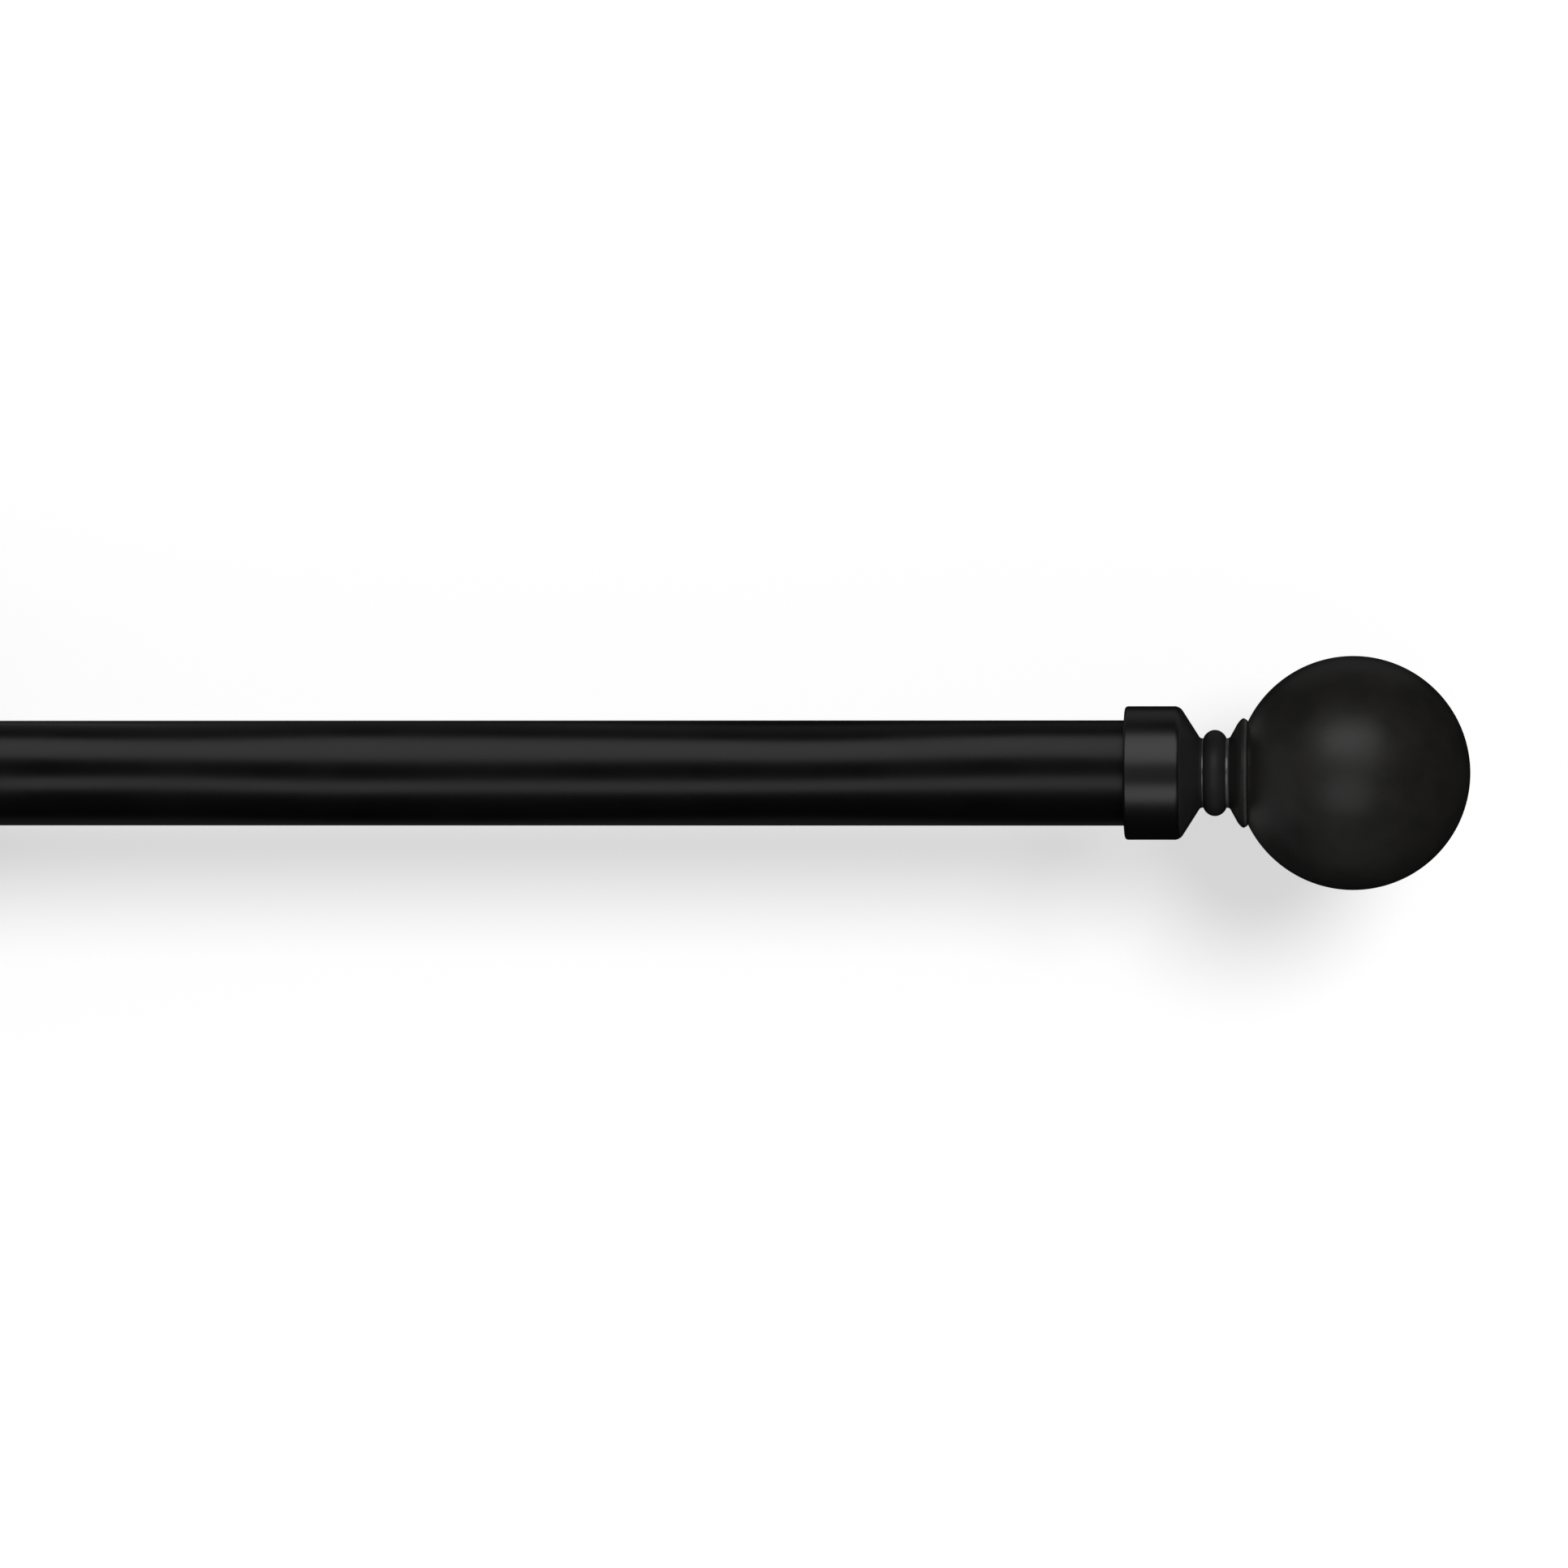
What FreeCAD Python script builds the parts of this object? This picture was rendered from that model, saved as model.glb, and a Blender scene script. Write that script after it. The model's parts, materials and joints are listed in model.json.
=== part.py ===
import FreeCAD, Part
import math
import os
import Sketcher

# A telescopic curtain rod, 28 to 48 in long, with two ball finials and two wall brackets.
#
# Frame: the origin is the middle of the four wall fixings, on the wall's face.
#   +X runs along the rod to the right-hand finial, +Y into the wall, +Z up.
# The rod's axis is parallel to X, in front of the wall by "reach". Lengths are millimetres.
#
# Pieces that turn about the rod are drawn with their axis on X. Right-hand finial pieces have
# x = 0 at the cup's rim, and the left-hand ones are the same pieces turned half round.
# Bracket pieces that turn about the arm have their axis on Y.

# Driving dimensions: the sheet's alias, its value and what it measures.
DIMENSIONS = [
    # the rod
    ("reach", 89.0, "wall to rod axis, arm pushed in"),
    ("rod_half", 503.5, "middle of the rod to a tube end"),
    ("outer_r", 12.7, "outer tube, 25.4 across"),
    ("outer_wall", 0.8, "outer tube wall"),
    ("outer_left", 194.0, "outer tube, middle to its left mouth"),
    ("inner_r", 11.1, "inner tube, 22.2 across"),
    ("inner_wall", 0.7, "inner tube wall"),
    ("inner_right", 160.0, "inner tube, middle to its right end"),
    ("run_fit", 0.05, "radial play of a sliding or turning fit"),
    ("bush_length", 12.0, "mouth bush inside the outer tube"),
    ("bush_lip", 1.5, "mouth bush lip thickness"),
    ("bush_lip_r", 12.6, "mouth bush lip radius"),
    ("glide_spigot", 20.0, "glide spigot inside the inner tube"),
    ("glide_flange", 6.0, "glide flange length"),
    ("glide_gap", 0.3, "glide flange off the tube's end"),
    ("glide_bore", 7.0, "glide bore radius"),
    ("plug_length", 20.0, "tube plug length"),
    ("plug_flange", 1.0, "tube plug flange thickness"),
    ("insert_r", 4.0, "plug insert radius"),
    ("insert_length", 15.0, "plug insert length"),
    ("reducer_r", 12.65, "reducer sleeve radius"),
    # the finial, lengths from the cup's rim
    ("cup_r", 16.05, "cup radius"),
    ("cup_lap", 11.5, "cup rim to the tube's end"),
    ("cup_bore_r", 12.75, "cup bore radius"),
    ("cup_bore_depth", 12.8, "cup bore depth"),
    ("cup_straight", 12.6, "cup's straight side"),
    ("cup_edge", 0.7, "cup rim edge radius"),
    ("cone_start", 13.3, "shoulder cone, large end"),
    ("cone_start_r", 15.45, "shoulder cone, large radius"),
    ("cone_end", 18.0, "shoulder cone, small end"),
    ("cone_end_r", 8.55, "shoulder cone, small radius"),
    ("neck_start", 18.56, "end cap to neck seam"),
    ("neck_r", 8.36, "neck radius in both grooves"),
    ("bead_at", 21.6, "bead centre"),
    ("bead_half", 2.9, "bead half width"),
    ("bead_r", 10.35, "bead radius"),
    ("flare_start", 25.1, "flare, small end"),
    ("flare_end", 27.3, "flare, large end"),
    ("flare_end_r", 12.45, "flare, large radius"),
    ("flange_at", 28.4, "flange, middle of its rounded edge"),
    ("flange_r", 13.12, "flange radius"),
    ("seat_at", 29.5, "neck to ball seam"),
    ("seat_r", 12.6, "neck radius at the ball"),
    ("ball_at", 54.7, "ball centre"),
    ("ball_r", 28.1, "ball radius"),
    ("ball_bore_depth", 16.0, "ball bore depth"),
    ("ball_insert_r", 4.5, "ball insert radius"),
    ("ball_insert_length", 14.0, "ball insert length"),
    ("stud_r", 2.95, "M6 stud radius"),
    ("stud_hole_r", 3.0, "M6 thread radius"),
    ("stud_start", -2.0, "stud inner end"),
    ("stud_end", 42.0, "stud outer end"),
    ("stud_bevel", 0.6, "stud end bevel"),
    # the brackets
    ("bracket_x", 180.0, "middle of the rod to a bracket"),
    ("plate_width", 30.0, "wall plate width"),
    ("plate_height", 84.0, "wall plate height"),
    ("plate_thick", 5.0, "wall plate thickness"),
    ("plate_bevel", 1.5, "wall plate front bevel"),
    ("fixing_z", 29.0, "arm axis to a wall screw"),
    ("fixing_hole", 4.8, "wall screw hole diameter"),
    ("fixing_sink", 9.0, "wall screw countersink diameter"),
    ("rivet_r", 5.0, "sleeve tail radius through the plate"),
    ("rivet_head_r", 7.0, "sleeve tail head radius"),
    ("rivet_head", 1.5, "sleeve tail head recess depth"),
    ("rivet_set_back", 0.2, "sleeve tail head, off the wall"),
    ("sleeve_r", 8.0, "sleeve radius"),
    ("sleeve_front", 55.0, "wall to the sleeve's mouth"),
    ("sleeve_floor", 9.0, "wall to the bottom of the sleeve's bore"),
    ("sleeve_bore_r", 6.05, "sleeve bore radius"),
    ("collar_r", 10.0, "sleeve collar radius"),
    ("collar_length", 10.0, "sleeve collar length"),
    ("collar_edge", 1.2, "sleeve collar edge radius"),
    ("lock_r", 2.0, "M4 lock screw radius"),
    ("lock_tip", 6.3, "arm axis to the lock screw's tip"),
    ("lock_end", 9.8, "arm axis to the lock screw's socket end"),
    ("lock_socket", 2.0, "lock screw socket, across flats and deep"),
    ("post_r", 6.0, "arm post radius"),
    ("post_tail", 12.0, "wall to the arm post's inner end"),
    ("post_bevel", 0.8, "arm post inner end bevel"),
    ("post_hole_depth", 12.0, "tapped hole in the arm post"),
    ("cradle_r", 13.0, "cradle seat radius"),
    ("cradle_thick", 3.5, "cradle wall thickness"),
    ("cradle_width", 16.0, "cradle width along the rod"),
    ("cradle_edge", 0.8, "cradle side edge radius"),
    ("back_leg", 14.0, "rod axis to the top of the back leg"),
    ("front_leg", 9.0, "rod axis to the top of the front leg"),
    ("boss_root", 14.3, "rod axis to where a boss starts in a leg"),
    ("back_boss_r", 8.0, "back boss radius"),
    ("back_boss_end", 18.5, "rod axis to the back boss face"),
    ("front_boss_r", 6.0, "front boss radius"),
    ("front_boss_end", 20.5, "rod axis to the front boss face"),
    ("front_hole_r", 2.5, "M5 thread radius"),
    ("joint_screw_r", 2.0, "M4 cradle screw radius"),
    ("joint_screw_head_r", 3.8, "M4 cradle screw head radius"),
    ("joint_screw_top", 13.3, "rod axis to the cradle screw's head"),
    ("joint_screw_length", 14.0, "cradle screw length"),
    ("joint_hole_r", 2.2, "cradle screw clearance hole radius"),
    ("pad_r", 2.3, "thumb pad radius"),
    ("pad_face", 13.0, "rod axis to the thumb pad's face"),
    ("pad_back", 15.0, "rod axis to the back of the thumb pad"),
    ("pad_bore_end", 13.8, "rod axis to the bottom of the pad's bore"),
    ("nose_r", 1.2, "thumbscrew nose radius"),
    ("nose_end", 13.9, "rod axis to the thumbscrew's nose"),
    ("thumb_thread_start", 15.1, "rod axis to the thumbscrew's thread"),
    ("thumb_thread_r", 2.45, "thumbscrew M5 thread radius"),
    ("thumb_shoulder", 22.0, "rod axis to the thumbscrew's shoulder"),
    ("thumb_shoulder_r", 5.0, "thumbscrew shoulder radius"),
    ("thumb_head", 24.0, "rod axis to the thumbscrew's head"),
    ("thumb_head_r", 8.5, "thumbscrew head radius"),
    ("thumb_head_end", 31.0, "rod axis to the thumbscrew's end"),
    ("thumb_bevel", 0.8, "thumbscrew head bevel"),
    ("flute_r", 1.3, "thumbscrew flute radius"),
    ("flute_at", 8.9, "thumbscrew flute centre, off the axis"),
    # the wall fixings
    ("screw_r", 2.1, "wood screw thread radius"),
    ("screw_shank_r", 1.6, "wood screw plain shank radius, in the plate"),
    ("screw_head_r", 4.2, "wood screw head radius"),
    ("screw_head", 2.6, "wood screw head cone height"),
    ("screw_set", 0.3, "wood screw head below the plate's face"),
    ("screw_length", 38.0, "wood screw length"),
    ("screw_point", 5.0, "wood screw point length"),
]

FLUTES = 16
SINK_ANGLE = 90
SIDES = (("right", 1), ("left", -1))
EDGE_TOLERANCE = 0.01

DOC = FreeCAD.newDocument("CurtainRod")
SHEET = DOC.addObject("Spreadsheet::Sheet", "Dims")
PIECES = []


def fill_sheet():
    """Writes the driving dimensions, one row each."""
    for row, (alias, value, meaning) in enumerate(DIMENSIONS, start=1):
        SHEET.set("A%d" % row, alias)
        SHEET.set("B%d" % row, str(value))
        SHEET.set("C%d" % row, meaning)
        SHEET.setAlias("B%d" % row, alias)
    DOC.recompute()


def value(text):
    """The number that an expression on the sheet comes to."""
    return float(SHEET.evalExpression(text))


class Piece:
    """One sub-part: a PartDesign body whose sketches and features read the sheet."""

    def __init__(self, label, at=("0", "0", "0"), turned=False):
        self.label = label
        self.body = DOC.addObject("PartDesign::Body", label)
        self.body.Label = label
        if turned:
            self.body.Placement.Rotation = FreeCAD.Rotation(FreeCAD.Vector(0, 0, 1), 180)
        for axis, text in zip("xyz", at):
            self.body.setExpression("Placement.Base." + axis, text)
        PIECES.append(self)

    def plane(self, role):
        """One of the body's own origin planes or axes."""
        return next(item for item in self.body.Origin.OriginFeatures if item.Role == role)

    def sketch(self, role, height="0"):
        """A new sketch on an origin plane, moved along the plane's normal by height."""
        sketch = self.body.newObject("Sketcher::SketchObject", self.label + "_sketch")
        sketch.AttachmentSupport = [(self.plane(role), "")]
        sketch.MapMode = "FlatFace"
        sketch.setExpression("AttachmentOffset.Base.z", height)
        return sketch

    def feature(self, kind, **settings):
        """A new feature of the body, set up and recomputed."""
        feature = self.body.newObject("PartDesign::" + kind, self.label + "_" + kind.lower())
        bound = settings.pop("bound", {})
        for name, setting in settings.items():
            setattr(feature, name, setting)
        for name, text in bound.items():
            feature.setExpression(name, text)
        DOC.recompute()
        return feature

    def cut(self, kind, **settings):
        """A feature that has to take material away."""
        before = self.body.Shape.Volume
        feature = self.feature(kind, **settings)
        if self.body.Shape.Volume >= before:
            raise ValueError("%s: %s cuts nothing" % (self.label, kind))
        return feature

    def pad(self, sketch, length, midplane=False, reverse=False):
        """Extrudes a sketch along its normal."""
        return self.feature("Pad", Profile=sketch, Midplane=midplane, Reversed=reverse,
                            bound={"Length": length})

    def pocket(self, sketch, length, midplane=False, reverse=False):
        """Cuts a sketch into the body."""
        return self.cut("Pocket", Profile=sketch, Midplane=midplane, Reversed=reverse,
                        bound={"Length": length})

    def revolve(self, sketch, axis):
        """Turns a sketch about its own H_Axis or V_Axis."""
        return self.feature("Revolution", Profile=sketch, ReferenceAxis=(sketch, [axis]))

    def groove(self, sketch, axis):
        """Cuts a turned sketch out of the body."""
        return self.cut("Groove", Profile=sketch, ReferenceAxis=(sketch, [axis]))

    def dress(self, kind, bound, wanted):
        """Rounds or bevels the edges of the tip that the test called wanted picks."""
        tip = self.body.Tip
        names = ["Edge%d" % (index + 1) for index, edge in enumerate(tip.Shape.Edges)
                 if wanted(edge)]
        if not names:
            raise ValueError("%s: no edge to dress" % self.label)
        return self.feature(kind, Base=(tip, names), bound=bound)

    def repeat(self, kind, features, **settings):
        """A mirror or pattern of some of the body's features, made the body's tip."""
        before = self.body.Shape.Volume
        self.body.Tip = self.feature(kind, Originals=features, **settings)
        DOC.recompute()
        if self.body.Shape.Volume == before:
            raise ValueError("%s: %s changes nothing" % (self.label, kind))


def outline(sketch, corners):
    """Draws a closed outline, each corner placed from the sheet.

    A corner is (x, y). With (x, y, centre_x, centre_y, turn) the edge that ends there is an
    arc, anticlockwise when turn is 1 and clockwise when it is -1.
    """
    edges = []
    points = [FreeCAD.Vector(value(corner[0]), value(corner[1]), 0) for corner in corners]
    for index, corner in enumerate(corners):
        start, end = points[index - 1], points[index]
        if len(corner) == 2:
            edges.append((sketch.addGeometry(Part.LineSegment(start, end)), 1, 2))
            continue
        centre = FreeCAD.Vector(value(corner[2]), value(corner[3]), 0)
        first, last = (start, end) if corner[4] > 0 else (end, start)
        angles = [math.atan2(point.y - centre.y, point.x - centre.x) for point in (first, last)]
        circle = Part.Circle(centre, FreeCAD.Vector(0, 0, 1), start.distanceToPoint(centre))
        arc = sketch.addGeometry(Part.ArcOfCircle(circle, angles[0], angles[1]))
        edges.append((arc, 1, 2) if corner[4] > 0 else (arc, 2, 1))
    for index, corner in enumerate(corners):
        edge, _, tail = edges[index]
        follower, head, _ = edges[(index + 1) % len(edges)]
        sketch.addConstraint(Sketcher.Constraint("Coincident", edge, tail, follower, head))
        place(sketch, edge, tail, corner[0], corner[1])
        if len(corner) > 2:
            chord = points[index] - points[index - 1]
            flat = abs(chord.x) >= abs(chord.y)
            place(sketch, edge, 3, None if flat else corner[2], corner[3] if flat else None)


def place(sketch, edge, point, along, up):
    """Binds a point's distances from the sketch's origin to expressions."""
    for kind, text in (("DistanceX", along), ("DistanceY", up)):
        if text is None:
            continue
        number = sketch.addConstraint(
            Sketcher.Constraint(kind, -1, 1, edge, point, value(text)))
        sketch.setExpression("Constraints[%d]" % number, text)


def disc(sketch, radius, along="0", up="0"):
    """Draws a circle whose centre and radius are bound to expressions."""
    middle = FreeCAD.Vector(value(along), value(up), 0)
    circle = sketch.addGeometry(Part.Circle(middle, FreeCAD.Vector(0, 0, 1), value(radius)))
    place(sketch, circle, 3, along, up)
    number = sketch.addConstraint(Sketcher.Constraint("Radius", circle, value(radius)))
    sketch.setExpression("Constraints[%d]" % number, radius)


def ring_corners(start, end, inner, outer):
    """The four corners of a plain ring's section, turned about X."""
    return [(start, inner), (end, inner), (end, outer), (start, outer)]


def is_ring(edge, radius):
    """True for a whole circular edge of this radius."""
    return (isinstance(edge.Curve, Part.Circle) and edge.isClosed()
            and abs(edge.Curve.Radius - radius) < EDGE_TOLERANCE)


# The rod


def make_outer_tube():
    """The 1 in tube, in one length, from the left mouth to the right-hand finial."""
    piece = Piece("outer_tube", ("0", "-Dims.reach", "0"))
    section = piece.sketch("XY_Plane")
    outline(section, ring_corners("-Dims.outer_left", "Dims.rod_half",
                                  "Dims.outer_r - Dims.outer_wall", "Dims.outer_r"))
    piece.revolve(section, "H_Axis")


def make_inner_tube():
    """The 7/8 in tube, from the left-hand finial into the outer tube."""
    piece = Piece("inner_tube", ("0", "-Dims.reach", "0"))
    section = piece.sketch("XY_Plane")
    outline(section, ring_corners("-Dims.rod_half", "Dims.inner_right",
                                  "Dims.inner_r - Dims.inner_wall", "Dims.inner_r"))
    piece.revolve(section, "H_Axis")


def make_mouth_bush():
    """The nylon bush pressed in the outer tube's left mouth, with a lip over its edge."""
    piece = Piece("mouth_bush", ("-Dims.outer_left", "-Dims.reach", "0"))
    bore = "Dims.inner_r + Dims.run_fit"
    section = piece.sketch("XY_Plane")
    outline(section, [
        ("-Dims.bush_lip", bore),
        ("Dims.bush_length", bore),
        ("Dims.bush_length", "Dims.outer_r - Dims.outer_wall"),
        ("0", "Dims.outer_r - Dims.outer_wall"),
        ("0", "Dims.bush_lip_r"),
        ("-Dims.bush_lip", "Dims.bush_lip_r"),
    ])
    piece.revolve(section, "H_Axis")


def make_inner_glide():
    """The nylon glide on the inner tube's right end: its flange runs in the outer tube."""
    piece = Piece("inner_glide", ("Dims.inner_right", "-Dims.reach", "0"))
    spigot = "Dims.inner_r - Dims.inner_wall - Dims.run_fit"
    flange = "Dims.outer_r - Dims.outer_wall - Dims.run_fit"
    section = piece.sketch("XY_Plane")
    outline(section, [
        ("-Dims.glide_spigot", "Dims.glide_bore"),
        ("Dims.glide_gap + Dims.glide_flange", "Dims.glide_bore"),
        ("Dims.glide_gap + Dims.glide_flange", flange),
        ("Dims.glide_gap", flange),
        ("Dims.glide_gap", spigot),
        ("-Dims.glide_spigot", spigot),
    ])
    piece.revolve(section, "H_Axis")


def make_reducer_sleeve():
    """The nylon sleeve that brings the inner tube up to the left cup's bore."""
    piece = Piece("left_reducer_sleeve", ("-Dims.rod_half", "-Dims.reach", "0"))
    section = piece.sketch("XY_Plane")
    outline(section, ring_corners("0", "Dims.cup_lap", "Dims.inner_r", "Dims.reducer_r"))
    piece.revolve(section, "H_Axis")


def make_tube_end(side, sign, bore, lip):
    """A tube's nylon end plug, and the brass insert in it that takes the finial's stud."""
    at = ("%d * Dims.rod_half" % sign, "-Dims.reach", "0")
    plug = Piece(side + "_tube_plug", at, sign < 0)
    section = plug.sketch("XY_Plane")
    outline(section, [
        ("-Dims.plug_length", "Dims.stud_hole_r"),
        ("-Dims.insert_length", "Dims.stud_hole_r"),
        ("-Dims.insert_length", "Dims.insert_r"),
        ("Dims.plug_flange", "Dims.insert_r"),
        ("Dims.plug_flange", lip),
        ("0", lip),
        ("0", bore),
        ("-Dims.plug_length", bore),
    ])
    plug.revolve(section, "H_Axis")
    insert = Piece(side + "_plug_insert", at, sign < 0)
    section = insert.sketch("XY_Plane")
    outline(section, ring_corners("-Dims.insert_length", "0", "Dims.stud_hole_r", "Dims.insert_r"))
    insert.revolve(section, "H_Axis")


# The finials


def finial_piece(side, sign, name):
    """A new finial piece, with x = 0 at the cup's rim and +x outwards."""
    rim = "%d * (Dims.rod_half - Dims.cup_lap)" % sign
    return Piece("%s_%s" % (side, name), (rim, "-Dims.reach", "0"), sign < 0)


def make_end_cap(side, sign):
    """The cup over the tube's end, its straight side running into the shoulder cone."""
    piece = finial_piece(side, sign, "end_cap")
    section = piece.sketch("XY_Plane")
    outline(section, [
        ("0", "Dims.cup_bore_r"),
        ("Dims.cup_bore_depth", "Dims.cup_bore_r"),
        ("Dims.cup_bore_depth", "Dims.stud_hole_r"),
        ("Dims.neck_start", "Dims.stud_hole_r"),
        ("Dims.neck_start", "Dims.neck_r"),
        ("Dims.cone_end", "Dims.cone_end_r"),
        ("Dims.cone_start", "Dims.cone_start_r"),
        ("Dims.cup_straight", "Dims.cup_r"),
        ("Dims.cup_edge", "Dims.cup_r"),
        ("0", "Dims.cup_r - Dims.cup_edge", "Dims.cup_edge", "Dims.cup_r - Dims.cup_edge", 1),
    ])
    piece.revolve(section, "H_Axis")


def make_neck_spool(side, sign):
    """The neck: a rounded bead, then a flare that opens into the flange under the ball."""
    piece = finial_piece(side, sign, "neck_spool")
    # A circle through both feet of the bead and its top has its centre this far off the axis.
    rise = "(Dims.bead_r - Dims.neck_r)"
    bead_centre = "Dims.bead_r - (Dims.bead_half^2 + %s^2) / (2 * %s)" % (rise, rise)
    section = piece.sketch("XY_Plane")
    outline(section, [
        ("Dims.neck_start", "Dims.stud_hole_r"),
        ("Dims.seat_at", "Dims.stud_hole_r"),
        ("Dims.seat_at", "Dims.seat_r"),
        ("Dims.flange_at", "Dims.flange_r"),
        ("Dims.flare_end", "Dims.flare_end_r"),
        ("Dims.flare_start", "Dims.neck_r"),
        ("Dims.bead_at + Dims.bead_half", "Dims.neck_r"),
        ("Dims.bead_at - Dims.bead_half", "Dims.neck_r", "Dims.bead_at", bead_centre, 1),
        ("Dims.neck_start", "Dims.neck_r"),
    ])
    piece.revolve(section, "H_Axis")


def make_ball(side, sign):
    """The solid ball, cut flat where it sits on the neck, with a blind bore for its insert."""
    piece = finial_piece(side, sign, "ball")
    flat_r = "sqrt(Dims.ball_r^2 - (Dims.ball_at - Dims.seat_at)^2)"
    section = piece.sketch("XY_Plane")
    outline(section, [
        ("Dims.seat_at", "Dims.ball_insert_r"),
        ("Dims.seat_at + Dims.ball_bore_depth", "Dims.ball_insert_r"),
        ("Dims.seat_at + Dims.ball_bore_depth", "0"),
        ("Dims.ball_at + Dims.ball_r", "0"),
        ("Dims.seat_at", flat_r, "Dims.ball_at", "0", 1),
    ])
    piece.revolve(section, "H_Axis")


def make_ball_insert(side, sign):
    """The threaded brass insert in the ball."""
    piece = finial_piece(side, sign, "ball_insert")
    section = piece.sketch("XY_Plane")
    outline(section, ring_corners("Dims.seat_at", "Dims.seat_at + Dims.ball_insert_length",
                                  "Dims.stud_hole_r", "Dims.ball_insert_r"))
    piece.revolve(section, "H_Axis")


def make_stud(side, sign):
    """The M6 stud that clamps ball, neck and cup, and screws into the tube's plug insert."""
    piece = finial_piece(side, sign, "stud")
    section = piece.sketch("XY_Plane")
    outline(section, [
        ("Dims.stud_start", "0"),
        ("Dims.stud_end", "0"),
        ("Dims.stud_end", "Dims.stud_r - Dims.stud_bevel"),
        ("Dims.stud_end - Dims.stud_bevel", "Dims.stud_r"),
        ("Dims.stud_start + Dims.stud_bevel", "Dims.stud_r"),
        ("Dims.stud_start", "Dims.stud_r - Dims.stud_bevel"),
    ])
    piece.revolve(section, "H_Axis")


# The brackets


def wall_piece(side, sign, name):
    """A new bracket piece with y = 0 on the wall's face."""
    return Piece("%s_%s" % (side, name), ("%d * Dims.bracket_x" % sign, "0", "0"))


def seat_piece(side, sign, name):
    """A new bracket piece with y = 0 on the rod's axis."""
    return Piece("%s_%s" % (side, name), ("%d * Dims.bracket_x" % sign, "-Dims.reach", "0"))


def make_wall_plate(side, sign):
    """The oblong plate, with two countersunk holes and a recess for the sleeve's tail."""
    piece = wall_piece(side, sign, "wall_plate")
    half, end = "Dims.plate_width / 2", "(Dims.plate_height - Dims.plate_width) / 2"
    face = piece.sketch("XZ_Plane")
    outline(face, [
        (half, "-" + end, "0", "-" + end, 1),
        (half, end),
        ("-" + half, end, "0", end, 1),
        ("-" + half, "-" + end),
    ])
    piece.pad(face, "Dims.plate_thick")
    front = -value("Dims.plate_thick")
    piece.dress("Chamfer", {"Size": "Dims.plate_bevel"},
                lambda edge: abs(edge.BoundBox.YMax - front) < EDGE_TOLERANCE)
    tail = piece.sketch("XY_Plane")
    outline(tail, [
        ("0", "-Dims.plate_thick"),
        ("Dims.rivet_r", "-Dims.plate_thick"),
        ("Dims.rivet_r", "-Dims.rivet_head"),
        ("Dims.rivet_head_r", "-Dims.rivet_head"),
        ("Dims.rivet_head_r", "0"),
        ("0", "0"),
    ])
    piece.groove(tail, "V_Axis")
    marks = piece.sketch("XZ_Plane", "Dims.plate_thick")
    for up in ("Dims.fixing_z", "-Dims.fixing_z"):
        disc(marks, "Dims.fixing_hole / 2", "0", up)
    piece.cut("Hole", Profile=marks, DepthType="ThroughAll", HoleCutType="Countersink",
              HoleCutCustomValues=True,
              bound={"Diameter": "Dims.fixing_hole", "HoleCutDiameter": "Dims.fixing_sink",
                     "HoleCutCountersinkAngle": str(SINK_ANGLE)})


def make_arm_sleeve(side, sign):
    """The sleeve that the arm post slides in, its tail headed over behind the plate."""
    piece = wall_piece(side, sign, "arm_sleeve")
    section = piece.sketch("XY_Plane")
    collar = "-Dims.sleeve_front + Dims.collar_length"
    outline(section, [
        ("0", "-Dims.rivet_set_back"),
        ("0", "-Dims.sleeve_floor"),
        ("Dims.sleeve_bore_r", "-Dims.sleeve_floor"),
        ("Dims.sleeve_bore_r", "-Dims.sleeve_front"),
        ("Dims.collar_r", "-Dims.sleeve_front"),
        ("Dims.collar_r", collar),
        ("Dims.sleeve_r", collar),
        ("Dims.sleeve_r", "-Dims.plate_thick"),
        ("Dims.rivet_r", "-Dims.plate_thick"),
        ("Dims.rivet_r", "-Dims.rivet_head"),
        ("Dims.rivet_head_r", "-Dims.rivet_head"),
        ("Dims.rivet_head_r", "-Dims.rivet_set_back"),
    ])
    piece.revolve(section, "V_Axis")
    piece.dress("Fillet", {"Radius": "Dims.collar_edge"},
                lambda edge: is_ring(edge, value("Dims.collar_r")))
    screw_hole = piece.sketch("XY_Plane")
    disc(screw_hole, "Dims.lock_r", "0", collar + " - Dims.collar_length / 2")
    piece.pocket(screw_hole, "Dims.collar_r")


def make_lock_screw(side, sign):
    """The M4 socket grub screw in the collar's underside, which sets the arm's reach."""
    piece = Piece(side + "_lock_screw", ("%d * Dims.bracket_x" % sign,
                                         "Dims.collar_length / 2 - Dims.sleeve_front", "0"))
    body = piece.sketch("XY_Plane", "-Dims.lock_end")
    disc(body, "Dims.lock_r")
    piece.pad(body, "Dims.lock_end - Dims.lock_tip")
    socket = piece.sketch("XY_Plane", "-Dims.lock_end")
    half = "Dims.lock_socket / 2"
    corner = "Dims.lock_socket / sqrt(3)"
    outline(socket, [
        (corner, "0"),
        (corner + " / 2", half),
        ("-%s / 2" % corner, half),
        ("-" + corner, "0"),
        ("-%s / 2" % corner, "-" + half),
        (corner + " / 2", "-" + half),
    ])
    piece.pocket(socket, "Dims.lock_socket", reverse=True)


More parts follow.
